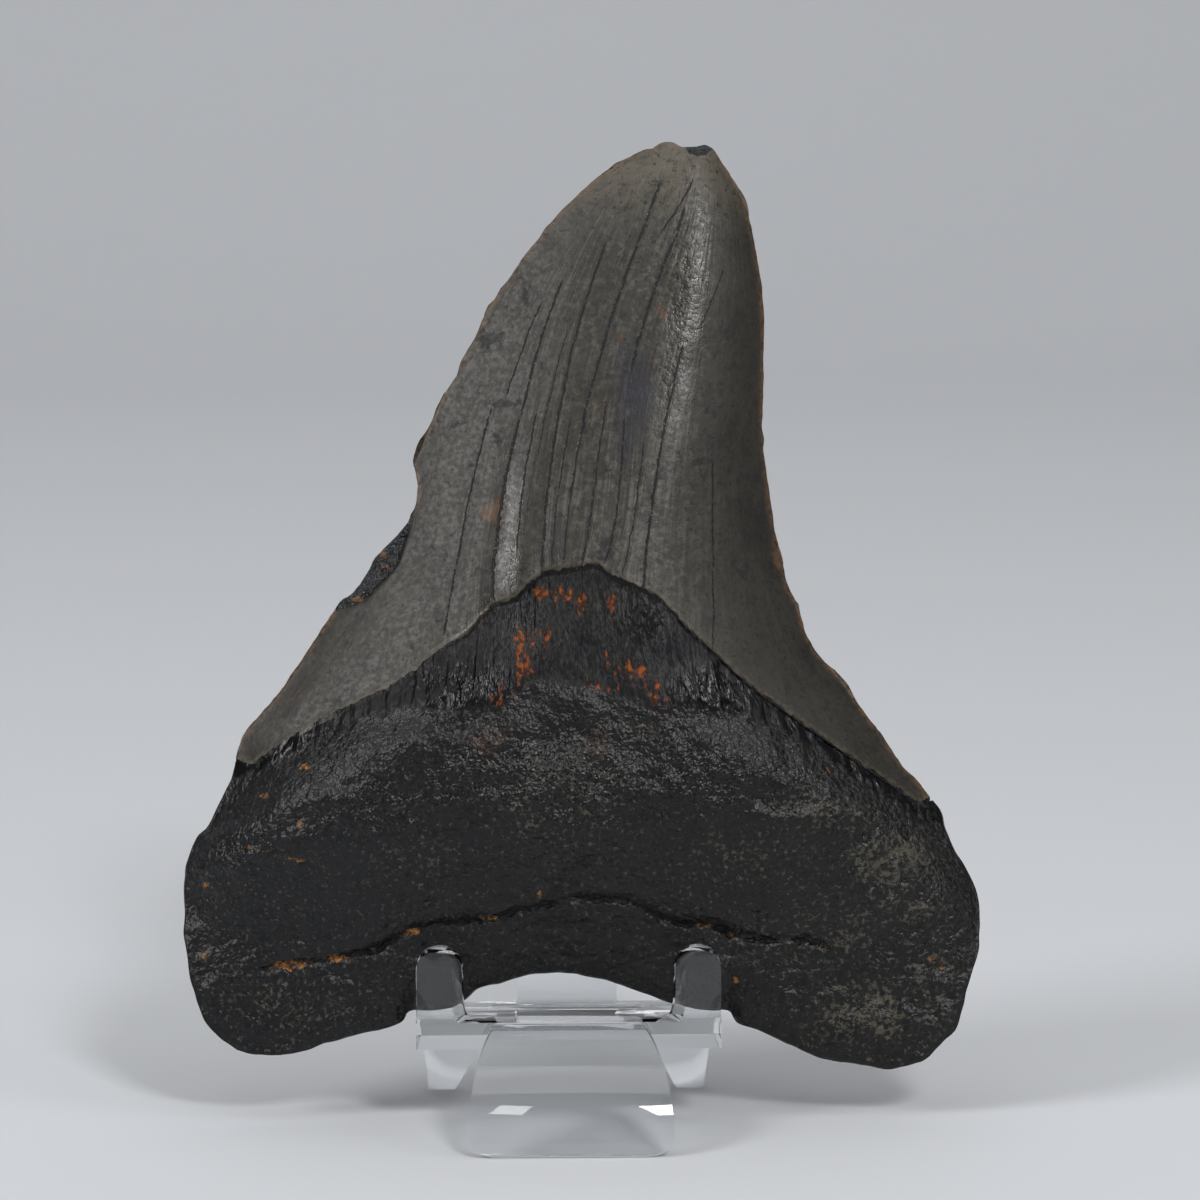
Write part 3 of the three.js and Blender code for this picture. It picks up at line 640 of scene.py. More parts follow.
def enamel_relief(x, up, fields):
    """Lumps of the enamel, and the swelling between fissures at its base."""
    swelling = np.interp(fields["fan"], *np.transpose(BASE_SWELLING))
    low = smoothstep(up_at(400), up_at(540), up)
    ribs = np.abs(np.sin(np.pi * fields["fan"])) ** 0.7 * swelling * low * fields["lingual"]
    return ribs + lumpy(x, up, ENAMEL_LUMPS)


def band_relief(x, up, fields):
    """Upright ridges of the dark band, with a ragged, comb-like step at its lower edge."""
    spread = x * (1 + (up - up_at(700)) * BAND_FAN)
    at_sides = 0.1 + 0.5 * smoothstep(8, 13, np.abs(x - BAND_MIDDLE))
    ragged_drop = fields["band_drop"] + lumpy(spread, up * 0.15, [BAND_TEETH])
    step = at_sides * (1 - smoothstep(-0.6, 0.4, ragged_drop))
    ridges = (lumpy(spread, up * 0.12, [BAND_RIDGES]) + step) * fields["lingual"]
    return ridges + lumpy(x, up, [BAND_GRAINS]) - BAND_DEPTH


def root_relief(x, up, fields):
    """Lumps and grains of the root, with the step and groove of its crack."""
    lumps = lumpy(x, up * 1.4, [ROOT_LUMPS]) + lumpy(x, up * 1.2, [ROOT_KNOBS])
    grains = lumpy(x, up, [ROOT_GRAINS]) * (0.1 + 0.3 * fields["glossy_grain"])
    groove = np.exp(-((fields["crack"] / GROOVE_HALF_WIDTH) ** 2)) * GROOVE_DEPTH
    past_crack = np.maximum(0, fields["crack"])
    lip = LIP_DEPTH * np.exp(-past_crack / LIP_WIDTH) * (past_crack > 0)
    return lumps + grains - groove - lip


def relief(x, up, fields, strength):
    """Height added to a face, in millimetres."""
    rooted = smoothstep(-0.2, 0.3, fields["enamel_drop"])
    past_band = smoothstep(-0.6, 0.6, fields["band_drop"])
    lower = band_relief(x, up, fields) * (1 - past_band) + root_relief(x, up, fields) * past_band
    height = enamel_relief(x, up, fields) * (1 - rooted) + lower * rooted
    chip = smoothstep(*CHIP_SLOPE, fields["side_chip"])
    fracture = lumpy(x, up, [CHIP_LUMPS]) - CHIP_DEPTH
    height = height * (1 - chip) + fracture * chip
    fade = smoothstep(0, RELIEF_FADE, fields["rim_distance"])
    return height * fade * strength


def raised_face(plan, flat, fields, depth_knots, crest_knots, strength):
    """Depth of one face's grid, down to nothing all round its rim."""
    x, up = flat[..., 0], flat[..., 1]
    depth = plan.depth(x, up, depth_knots, crest_knots)
    lip = smoothstep(-ENAMEL_LIP, 0, fields["enamel_drop"]) * (fields["enamel_drop"] < 0.02)
    depth = depth + ENAMEL_STEP * lip * smoothstep(0, LIP_FADE, fields["rim_distance"])
    depth = depth * (1 - TIP_LOSS * smoothstep(*TIP_SLOPE, fields["tip_chip"]))
    depth = depth + relief(x, up, fields, strength)
    depth[0], depth[-1], depth[:, 0], depth[:, -1] = 0, 0, 0, 0
    return np.maximum(depth, 0)


def placed(x, depth, up):
    """Points of the leaning tooth in the frame, in metres; depth is towards the viewer."""
    low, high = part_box("display_stand")
    front = low.y * METRE + FOOT_REACH
    proud = depth + bend_at(up)
    y = up * math.sin(LEAN) - proud * math.cos(LEAN) + front + SEAT_BEHIND_FRONT
    z = up * math.cos(LEAN) + proud * math.sin(LEAN) + SHELF_TOP + SEAT_HEIGHT
    return np.stack([x + (low.x + high.x) / 2 * METRE, y, z], -1) * MM


def grid_cells(numbers):
    """Corner numbers of a grid's cells, going down then right."""
    cells = [numbers[:-1, :-1], numbers[1:, :-1], numbers[1:, 1:], numbers[:-1, 1:]]
    return np.stack(cells, -1).reshape(-1, 4)


def labial_cells(numbers, front_numbers, row_of, column_of):
    """Cells of the coarser face, whose rim cells take in the finer rim's extra corners."""
    cells = []
    last_row, last_column = numbers.shape[0] - 1, numbers.shape[1] - 1
    for i in range(last_row):
        between_rows = row_of[i] + 1
        skips = row_of[i + 1] - row_of[i] == 2
        for j in range(last_column):
            between_columns = column_of[j] + 1
            corners = [
                (numbers[i, j], True),
                (front_numbers[0, between_columns], i == 0),
                (numbers[i, j + 1], True),
                (front_numbers[between_rows, -1], skips and j == last_column - 1),
                (numbers[i + 1, j + 1], True),
                (front_numbers[-1, between_columns], i == last_row - 1),
                (numbers[i + 1, j], True),
                (front_numbers[between_rows, 0], skips and j == 0),
            ]
            cells.append([int(number) for number, taken in corners if taken])
    return cells


def store(mesh, name, values, kind="FLOAT", key="value"):
    """Keeps a number, or a vector, for each of a mesh's points."""
    layer = mesh.attributes.new(name, kind, "POINT")
    layer.data.foreach_set(key, np.ascontiguousarray(values, np.float32).ravel())


def keep_edges_sharp(mesh, rim_numbers):
    """Marks the cutting edges, so that the two faces aren't shaded as one."""
    on_rim = np.zeros(len(mesh.vertices), bool)
    on_rim[rim_numbers] = True
    ends = np.zeros(len(mesh.edges) * 2, np.int32)
    mesh.edges.foreach_get("vertices", ends)
    sharp = on_rim[ends].reshape(-1, 2).all(1)
    layer = mesh.attributes.new("sharp_edge", "BOOLEAN", "EDGE")
    layer.data.foreach_set("value", sharp)


def tooth_mesh(strength):
    """The whole tooth as one closed mesh, with the fields its finish follows."""
    plan = ToothPlan()
    across = crowded(COLUMNS, -SIDE_CROWDING, 2)
    crown_down = np.linspace(0, 1, CROWN_ROWS + 1)
    root_down = crowded(ROOT_ROWS, ARCH_CROWDING, 1)
    front = plan.grid(LINGUAL_ENAMEL_EDGE, across, crown_down, root_down)
    back = plan.grid(LABIAL_ENAMEL_EDGE, across[::2], crown_down[::2], root_down[::2])
    row_of = np.r_[np.arange(0, CROWN_ROWS + 1, 2), CROWN_ROWS + 1 + np.arange(0, ROOT_ROWS + 1, 2)]
    column_of = np.arange(0, COLUMNS + 1, 2)
    back[0], back[-1] = front[0, column_of], front[-1, column_of]
    back[:, 0], back[:, -1] = front[row_of, 0], front[row_of, -1]

    front_fields = lingual_fields(plan, front[..., 0], front[..., 1])
    back_fields = labial_fields(plan, back[..., 0], back[..., 1])
    front_depth = raised_face(plan, front, front_fields, LINGUAL_DEPTH, LINGUAL_CREST, strength)
    back_depth = raised_face(plan, back, back_fields, LABIAL_DEPTH, LABIAL_CREST, strength)

    front_numbers = np.arange(front.shape[0] * front.shape[1]).reshape(front.shape[:2])
    numbers = np.zeros(back.shape[:2], int)
    numbers[0], numbers[-1] = front_numbers[0, column_of], front_numbers[-1, column_of]
    numbers[:, 0], numbers[:, -1] = front_numbers[row_of, 0], front_numbers[row_of, -1]
    inner = numbers[1:-1, 1:-1]
    inner[:] = front_numbers.size + np.arange(inner.size).reshape(inner.shape)

    def joined(front_values, back_values):
        return np.concatenate([front_values.ravel(), back_values[1:-1, 1:-1].ravel()])

    x = joined(front[..., 0], back[..., 0])
    up = joined(front[..., 1], back[..., 1])
    depth = joined(front_depth, -back_depth)
    cells = grid_cells(front_numbers).tolist()
    cells += labial_cells(numbers, front_numbers, row_of, column_of)
    mesh = bpy.data.meshes.new("tooth")
    mesh.from_pydata(placed(x, depth, up).tolist(), [], cells)
    mesh.validate()
    mesh.shade_smooth()
    crown_numbers = front_numbers[:CROWN_ROWS]
    keep_edges_sharp(mesh, np.r_[front_numbers[0], crown_numbers[:, 0], crown_numbers[:, -1]])
    store(mesh, "plane", np.stack([x, depth, up], -1), "FLOAT_VECTOR", "vector")
    for name, values in front_fields.items():
        store(mesh, name, joined(values, back_fields[name]))
    return mesh


# Sizes of the easel in mm; y is 0 at the shelf's front face and z is 0 on the ground
SHELF_WIDTH = 38.7
SHELF_DEPTH = 12.0
SHELF_THICKNESS = 3.4
PLATE_THICKNESS = 2.1
FINGER_HEIGHT = 9.4
FINGER_THICKNESS = 3.2
FINGER_FRONT_WIDTH = 4.45
FINGER_MIDDLE_WIDTH = 5.7
FINGER_BACK_WIDTH = 6.0
FINGER_MIDDLE_AT = 0.7
FINGER_FRONT_INSET = 0.1
FINGER_FRONT_DROP = 0.25
FINGER_FLARE = 0.8
FINGER_FLARE_HEIGHT = 2.8
FINGER_FLARE_CURVE = [(0.72, 0.1), (0.4, 0.32), (0.12, 0.64), (0, 1)]
FINGER_ARC_STEPS = 28
BURIED = 1.5
FOOT_CURVE = [(0.5, 0.1), (-6.43, 1.1), (-14.54, 4.0), (-15.3, 13.5)]
FOOT_TOP_WIDTH = 18.8
FOOT_BOTTOM_WIDTH = 25.8
FOOT_CORNER = 3.0
FOOT_STEPS = 56
FOOT_CURVE_POINTS = 400
FOOT_END_CROWDING = 0.18
LEG_REACH = 22.0
LEG_THICKNESS = 2.4
LEG_TOP = (8.5, 18.85)
LEG_BOTTOM = (14.4, 17.9)
LEG_TOP_DROP = 0.8
LEG_TOP_INSET = 0.2
REST_BASE_WIDTH = 12.7
REST_TOP_WIDTH = 18.0
REST_LENGTH = 34.0
REST_TIP_FLAT = 0.5
REST_BEND_RADIUS = 2.0
REST_BEND_STEPS = 14
REST_STEPS = 40
REST_LEAN = math.radians(16)
ROUNDED_CORNERS = math.radians(38)
SHARP_CORNERS = math.radians(32)
ROUNDING_STEPS = 3


def loft(rings):
    """Closed skin over a row of rings with equal point counts, as points and faces."""
    count = len(rings[0])
    faces = [tuple(range(count))[::-1]]
    for i in range(len(rings) - 1):
        for j in range(count):
            a, b = i * count + j, i * count + (j + 1) % count
            faces.append((a, b, b + count, a + count))
    last = (len(rings) - 1) * count
    faces.append(tuple(range(last, last + count)))
    return [point for ring in rings for point in ring], faces


def plate_along(stations, thickness):
    """Plate whose upper side follows stations (y, z, turn, half width)."""
    rings = []
    for y, z, turn, half in stations:
        under_y = y + math.sin(turn) * thickness
        under_z = max(0, z - math.cos(turn) * thickness)
        ends = [(half, y, z), (half, under_y, under_z), (-half, under_y, under_z), (-half, y, z)]
        rings.append(ends)
    return loft(rings)


def rounded_half(half, radius, to_end):
    """Half width of a plate near an end with rounded corners."""
    if to_end >= radius:
        return half
    return half - radius + math.sqrt(radius**2 - (radius - to_end) ** 2)


def shelf():
    half = SHELF_WIDTH / 2
    under = SHELF_TOP - SHELF_THICKNESS
    section = [(0, under), (0, SHELF_TOP), (SHELF_DEPTH, SHELF_TOP), (SHELF_DEPTH, under)]
    return loft([[(x, y, z) for y, z in section] for x in (-half, half)])


def finger_ring(side, outer, width, top, y):
    """Upright ring with a round top and a flared foot on its inner side."""
    inner = outer - width
    radius = width / 2
    foot = SHELF_TOP - BURIED
    ring = [(outer, foot), (inner - FINGER_FLARE, foot), (inner - FINGER_FLARE, SHELF_TOP)]
    for wide, high in FINGER_FLARE_CURVE:
        ring.append((inner - FINGER_FLARE * wide, SHELF_TOP + FINGER_FLARE_HEIGHT * high))
    for i in range(FINGER_ARC_STEPS + 1):
        angle = math.pi * (1 - i / FINGER_ARC_STEPS)
        x, z = inner + radius + radius * math.cos(angle), top - radius + radius * math.sin(angle)
        ring.append((x, z))
    return [(side * x, y, z) for x, z in ring]


def finger(side):
    outer = SHELF_WIDTH / 2
    top = SHELF_TOP + FINGER_HEIGHT
    front_outer, front_top = outer - FINGER_FRONT_INSET, top - FINGER_FRONT_DROP
    return loft([
        finger_ring(side, front_outer, FINGER_FRONT_WIDTH, front_top, 0),
        finger_ring(side, outer, FINGER_MIDDLE_WIDTH, top, FINGER_THICKNESS * FINGER_MIDDLE_AT),
        finger_ring(side, outer, FINGER_BACK_WIDTH, top, FINGER_THICKNESS),
    ])


def foot():
    """Curved foot that leaves the shelf level and comes down on its lower edge."""
    a, b, c, d = [np.array((y, SHELF_TOP - drop)) for y, drop in FOOT_CURVE]
    t = np.linspace(0, 1, FOOT_CURVE_POINTS)[:, None]
    curve = a * (1 - t) ** 3 + 3 * b * t * (1 - t) ** 2 + 3 * c * t**2 * (1 - t) + d * t**3
    slopes = np.gradient(curve, axis=0)
    length = np.linalg.norm(np.diff(curve, axis=0), axis=1).sum()
    stations = []
    for i in range(FOOT_STEPS + 1):
        step = i / FOOT_STEPS
        share = min(1, step + FOOT_END_CROWDING * step * (1 - step))
        [[y, z]] = along(curve, [share])
        index = np.argmin(np.hypot(*(curve - (y, z)).T))
        turn = math.atan2(-slopes[index][1], -slopes[index][0]) if i < FOOT_STEPS else math.pi / 2
        spread = (FOOT_BOTTOM_WIDTH - FOOT_TOP_WIDTH) * math.sin(share * math.pi / 2)
        half = rounded_half((FOOT_TOP_WIDTH + spread) / 2, FOOT_CORNER, length * (1 - share))
        stations.append((y, z, turn, half))
    return plate_along(stations, PLATE_THICKNESS)


def leg(side):
    """Rear leg: a tab off the shelf's rear edge that narrows on its way down."""
    ends = [
        (LEG_TOP, SHELF_DEPTH - LEG_TOP_INSET, SHELF_TOP - LEG_TOP_DROP),
        (LEG_BOTTOM, LEG_REACH, 0),
    ]
    rings = []
    for (inner, outer), back, z in ends:
        front = back - LEG_THICKNESS
        corners = [(inner, front), (outer, front), (outer, back), (inner, back)]
        rings.append([(side * x, y, z) for x, y in corners])
    return loft(rings)


def back_rest():
    """Tongue that bends up out of the shelf and leans back."""
    lean = math.pi / 2 - REST_LEAN
    centre_y, centre_z = SHELF_DEPTH - REST_BEND_RADIUS, SHELF_TOP + REST_BEND_RADIUS
    stations = [(centre_y - BURIED, SHELF_TOP, 0, REST_BASE_WIDTH / 2)]
    for i in range(1, REST_BEND_STEPS + 1):
        turn = lean * i / REST_BEND_STEPS
        y = centre_y + REST_BEND_RADIUS * math.sin(turn)
        z = centre_z - REST_BEND_RADIUS * math.cos(turn)
        stations.append((y, z, turn, REST_BASE_WIDTH / 2))
    bend_y, bend_z = stations[-1][:2]
    for i in range(1, REST_STEPS + 1):
        share = math.sin(math.pi / 2 * i / REST_STEPS)
        spread = (REST_BASE_WIDTH + (REST_TOP_WIDTH - REST_BASE_WIDTH) * share) / 2
        half = rounded_half(spread, spread - REST_TIP_FLAT, REST_LENGTH * (1 - share))
        reach = REST_LENGTH * share
        y, z = bend_y + reach * math.cos(lean), bend_z + reach * math.sin(lean)
        stations.append((y, z, lean, half))
    return plate_along(stations, LEG_THICKNESS)


def facing_out(mesh):
    """Turns a closed mesh's faces outwards."""
    shell = bmesh.new()
    shell.from_mesh(mesh)
    bmesh.ops.recalc_face_normals(shell, faces=shell.faces)
    shell.to_mesh(mesh)
    shell.free()


def plastic_part(points, faces):
    low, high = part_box("display_stand")
    middle, front = (low.x + high.x) / 2 * METRE, low.y * METRE + FOOT_REACH
    mesh = bpy.data.meshes.new("part")
    places = [((x + middle) * MM, (y + front) * MM, z * MM) for x, y, z in points]
    mesh.from_pydata(places, [], faces)
    facing_out(mesh)
    part = bpy.data.objects.new("part", mesh)
    bpy.context.scene.collection.objects.link(part)
    return part


def stand_mesh(edge_round):
    """The easel as one solid with softly rounded edges."""
    shapes = [shelf(), finger(-1), finger(1), foot(), leg(-1), leg(1), back_rest()]
    parts = [plastic_part(*shape) for shape in shapes]
    core = parts[0]
    for part in parts[1:]:
        join = core.modifiers.new("join", "BOOLEAN")
        join.operation = "UNION"
        join.solver = "EXACT"
        join.object = part
    rounding = core.modifiers.new("rounding", "BEVEL")
    rounding.width = edge_round
    rounding.segments = ROUNDING_STEPS
    rounding.limit_method = "ANGLE"
    rounding.angle_limit = ROUNDED_CORNERS
    dressed = core.evaluated_get(bpy.context.evaluated_depsgraph_get())
    mesh = bpy.data.meshes.new_from_object(dressed)
    mesh.name = "easel"
    for part in parts:
        bpy.data.objects.remove(part)
    mesh.shade_smooth()
    mesh.set_sharp_from_angle(angle=SHARP_CORNERS)
    return mesh


def operators(operation):
    """An operator of Wire and its reflected form, which both add a Math node."""
    return (lambda wire, other: wire.maths(operation, wire, other),
            lambda wire, other: wire.maths(operation, other, wire))


class Wire:
    """A node's output. Arithmetic on it adds Math nodes and gives the result's output."""

    __add__, __radd__ = operators("ADD")
    __sub__, __rsub__ = operators("SUBTRACT")
    __mul__, __rmul__ = operators("MULTIPLY")
    __truediv__, __rtruediv__ = operators("DIVIDE")
    __pow__, __rpow__ = operators("POWER")

    def __init__(self, finish, socket):
        self.finish = finish
        self.socket = socket

    def maths(self, operation, *values):
        return self.finish.node("ShaderNodeMath", {"operation": operation}, enumerate(values))

    def __abs__(self):
        return self.maths("ABSOLUTE", self)

    def least(self, other):
        return self.maths("MINIMUM", self, other)

    def most(self, other):
        return self.maths("MAXIMUM", self, other)

    def rise(self, low, high):
        """0 below low, 1 above high, smooth between them."""
        values = {"Value": self, "From Min": low, "From Max": high}
        return self.finish.node("ShaderNodeMapRange", {"interpolation_type": "SMOOTHSTEP"}, values)

    def fall(self, low, high):
        return 1 - self.rise(low, high)


class Finish:
    """A material's node tree, and short ways to add to it."""

    def __init__(self, name):
        self.material = bpy.data.materials.new(name)
        self.material.use_nodes = True
        self.tree = self.material.node_tree
        self.tree.nodes.clear()

    def node(self, kind, settings=(), inputs=(), output=0):
        """Adds a node: its settings first, then the values or links of its sockets."""
        node = self.tree.nodes.new(kind)
        for name, value in dict(settings).items():
            setattr(node, name, value)
        for key, value in dict(inputs).items():
            if isinstance(value, Wire):
                self.tree.links.new(value.socket, node.inputs[key])
            else:
                node.inputs[key].default_value = value
        return Wire(self, node.outputs[output])

    def field(self, name):
        return self.node("ShaderNodeAttribute", {"attribute_name": name}, output=2)

    def place(self, name):
        return self.node("ShaderNodeAttribute", {"attribute_name": name}, output=1)

    def vector(self, x, y, z=0.0):
        return self.node("ShaderNodeCombineXYZ", (), {"X": x, "Y": y, "Z": z})

    def noise(self, place, scale, detail=3.0, roughness=0.5, distortion=0.0):
        inputs = {
            "Vector": place, "Scale": scale, "Detail": detail, "Roughness": roughness,
            "Distortion": distortion,
        }
        return self.node("ShaderNodeTexNoise", (), inputs)

    def cells(self, place, scale):
        """Distance to the nearest of scattered points, and a colour drawn for that point."""
        inputs = {"Vector": place, "Scale": scale}
        near = self.node("ShaderNodeTexVoronoi", {"feature": "F1"}, inputs)
        return near, Wire(self, near.socket.node.outputs["Color"])

    def domes(self, place, scale):
        """Crowded round grains, 1 on their tops and near 0 between them."""
        return 1 - self.cells(place, scale)[0] ** 2

    def mix(self, share, first, second, blend="MIX"):
        """Mixes two colours."""
        settings = {"data_type": "RGBA", "blend_type": blend}
        colours = [c if isinstance(c, Wire) else (*c, 1) for c in (first, second)]
        return self.node("ShaderNodeMix", settings, {0: share, 6: colours[0], 7: colours[1]}, 2)

    def coats(self, colour, *coats):
        """A colour under coats of others, each as its share and its display tones."""
        for share, *tones in coats:
            colour = self.mix(share, colour, tone(*tones))
        return colour

    def blend(self, share, first, second):
        """Mixes two shaders."""
        return self.node("ShaderNodeMixShader", (), {0: share, 1: first, 2: second})

    def bump(self, height, strength=1.0):
        """Normal of a surface raised by a height in millimetres."""
        inputs = {"Height": height, "Distance": MM, "Strength": strength}
        return self.node("ShaderNodeBump", (), inputs)

    def principled(self, inputs):
        return self.node("ShaderNodeBsdfPrincipled", (), inputs)

    def finished(self, shader):
        """The material, with a shader as its surface."""
        output = self.tree.nodes.new("ShaderNodeOutputMaterial")
        self.tree.links.new(shader.socket, output.inputs["Surface"])
        return self.material


def fissure_nearness(fan, gap, up, sway):
    """How near a point is to a fissure, counted in half widths of the nearest one."""
    near = None
    for top_line, top_row, low_line, low_row, half_width in FISSURES:
        top, low = up_at(top_row), up_at(low_row)
        slope = (top_line - low_line) / (top - low)
        line = up * slope + (low_line - slope * low) if slope else low_line
        offset = abs((fan - line) * gap + sway) / half_width
        past_end = (abs(up - (top + low) / 2) - (top - low) / 2).most(0)
        here = offset + past_end * 1.5
        near = near.least(here) if near else here
    return near


def grown(f, m, across, up, seed, *noise):
    """Noise that is drawn out along the growth lines."""
    return f.noise(f.vector(m.fan * across, m.up * up, seed), 1, *noise)


def enamel_colour(f, m, enamel):
    """Olive-grey of the enamel without its marks: clouds, silky growth streaks, and flanks darkened
    towards brown, partly their own brown and partly painted shade.
    """
    pale = f.noise(m.plane, 0.07, 3, 0.6).rise(0.33, 0.67)
    olive = f.noise(m.plane, 0.16, 3, 0.68, 0.4).rise(0.44, 0.64)
    streaks = grown(f, m, 4, 0.05, 0.0, 2, 0.65).rise(0.34, 0.66)
    low_part = m.up.fall(up_at(450), up_at(340))
    mottle = f.noise(m.plane, 1.0, 3, 0.62)
    colour = f.coats(
        f.mix(pale, tone(54, 51, 44), enamel),
        (olive * 0.6, 52, 46, 32),
        (streaks * 0.5, 38, 37, 32),
        (m.silk.rise(0.5, 0.66) * (0.3 + low_part * 0.4), 28, 27, 25),
        (m.silk.fall(0.34, 0.48) * (0.16 + low_part * 0.2), 112, 108, 99),
        (mottle.rise(0.5, 0.66) * 0.7, 28, 27, 22),
        (mottle.fall(0.34, 0.48) * 0.35, 108, 104, 92),
    )
    # Both flanks are darkened towards brown, the right one most: partly the enamel's own brown,
    # partly painted shade where the crown turns away from the lights.
    flank_brown_and_shade = (m.fan.rise(5.9, 7.4) * 0.95 + m.fan.fall(0.6, 5.4) * 0.62) * m.lingual
    colour = f.mix(flank_brown_and_shade, colour, f.mix(olive, tone(40, 36, 28), tone(24, 20, 12)))
    return f.coats(colour, (m.up.rise(up_at(250), up_at(160)) * 0.5, 108, 100, 86))


def enamel_marks(f, m, colour):
    """Adds stains, grime and specks to the enamel; also gives how much grime there is."""
    # Dark blue patch: partly a blue tint, partly painted shade of a shallow hollow in the crown's
    # middle.
    blue = m.blue_stain * grown(f, m, 6, 0.3, 0.0, 2, 0.6).rise(0.2, 0.5)
    warm = (m.warm_stain * 0.34 + f.noise(m.plane, 0.5, 3, 0.65)).rise(0.62, 0.86)
    brown = f.noise(m.plane, 0.33, 3, 0.7, 0.5).rise(0.5, 0.64)
    grime = (m.dark_smudge * 0.28 + f.noise(m.plane, 0.8, 3, 0.72, 0.3)).rise(0.58, 0.7)
    strokes = f.noise(f.vector(m.across * 0.45, m.up * 1.1, 2.0), 1, 2, 0.6, 1.2)
    strokes = abs(strokes - 0.5).fall(0.004, 0.02) * f.noise(m.plane, 0.2, 3, 0.6).rise(0.55, 0.62)
    near, drawn_colour = f.cells(m.plane, 0.75)
    kind = f.node("ShaderNodeSeparateColor", (), {0: drawn_colour})
    specks = near.fall(0.1, 0.26) * kind.rise(0.6, 0.7)
    dusty = f.noise(m.plane, 0.4, 3, 0.6).rise(0.4, 0.56)
    dust = f.noise(m.plane, 1.7, 2, 0.6).rise(0.59, 0.66) * dusty
    return f.coats(
        colour,
        (blue, 22, 23, 36),
        (warm * 0.7, 92, 62, 36),
        (brown * 0.4, 38, 31, 19),
        (grime * 0.85, 14, 14, 13),
        (strokes * 0.8, 14, 13, 13),
        (specks.most(dust * 0.85) * 0.85, 12, 12, 12),
    ), grime


def enamel_finish(f, m, colours):
    """Olive-grey glossy enamel: colour, roughness and height in mm."""
    colour, grime = enamel_marks(f, m, enamel_colour(f, m, colours.enamel))
    along_line = grown(f, m, 2, 0.7, 5.0, 3, 0.75)
    gaps = f.noise(m.plane, 1.5, 2, 0.6).rise(0.34, 0.46)
    nearness = m.fissure / (along_line * 2.6 - 0.3).most(0.3)
    line = nearness.fall(0.4, 1.5) * (gaps * 0.75 + 0.25)
    halo = m.fissure.fall(0.6, 5) * f.noise(m.plane, 0.9, 3, 0.7).rise(0.35, 0.65)
    rusty_line = m.fissure.fall(0.6, 4) * m.warm_stain * along_line.rise(0.35, 0.55)
    hair = grown(f, m, 4, 0.06, 7.0, 2, 0.6)
    hair = abs(hair - 0.5).fall(0.004, 0.02) * along_line.rise(0.46, 0.58) * gaps
    colour = f.coats(
        colour,
        (halo * 0.5, 26, 26, 25),
        (rusty_line * 0.8, 120, 62, 26),
        (hair * 0.75, 14, 14, 14),
        (line, 5, 6, 7),
        (m.rim_distance.fall(0.05, 0.9) * m.grit * 0.6, 118, 84, 50),
        # Lighter line along the enamel's lower edge: a painted highlight on the enamel's step.
        (abs(m.enamel_drop + 0.25).fall(0.05, 0.5) * m.grit * 0.5, 96, 84, 64),
    )
    sparkle = f.noise(m.plane, 1.5, 2, 0.6)
    roughness = 0.44 - m.polish * 0.2 + sparkle.rise(0.35, 0.65) * 0.12 + line * 0.2 + grime * 0.1
    streaks = grown(f, m, 5, 0.05, 2.0, 2, 0.5) * 0.07 - m.silk * 0.03
    height = sparkle * (0.05 + m.polish * 0.06) + streaks - line * 0.16
    return colour, roughness, height


def band_finish(f, m, colours):
    """Blue-black band under the enamel, with upright ridges and rust between them."""
    slant = m.across + m.up * 0.12 * m.across.rise(-18, 12) - m.up * 0.12 * m.across.fall(-18, 12)
    broad = f.noise(f.vector(slant * 0.55, m.up * 0.12, 3.0), 1, 1, 0.5, 0.8)
    fine = f.noise(f.vector(slant * 1.3, m.up * 0.6, 6.0), 1, 1, 0.5, 0.8)
    blue = f.noise(m.plane, 0.3, 1).rise(0.4, 0.7)
    pale = f.noise(f.vector(slant * 1.1, m.up * 0.45, 8.0), 1, 3, 0.7).rise(0.58, 0.68)
    rust_streaks = f.noise(f.vector(slant * 0.95, m.up * 0.4, 1.0), 1, 4, 0.7, 0.6)
    rust = (m.rust * 0.32 + rust_streaks).rise(0.64, 0.76)
    rust_tone = f.mix(f.noise(m.plane, 1.4, 3).rise(0.4, 0.6), tone(60, 27, 10), colours.rust)
    colour = f.mix(fine.rise(0.35, 0.65), tone(3, 3, 3), tone(9, 9, 11))
    colour = f.coats(colour, (blue * 0.35, 14, 17, 24), (pale * 0.5, 72, 68, 60))
    colour = f.mix(rust * 0.9, colour, rust_tone)
    smooth_side = (abs(m.across + 1.5) - 24).rise(0, 10)
    gloss = m.glossy_grain.most(smooth_side)
    roughness = 0.5 - gloss * 0.24 + rust * 0.3 + pale * 0.1
    strength = (0.7 + m.glossy_grain * 0.3) * (1 - smooth_side * 0.6)
    beads = f.domes(f.vector(slant * 1.2, m.up * 0.8), 1)
    return colour, roughness, (broad * 0.9 + fine * 0.28 + beads * 0.1) * strength


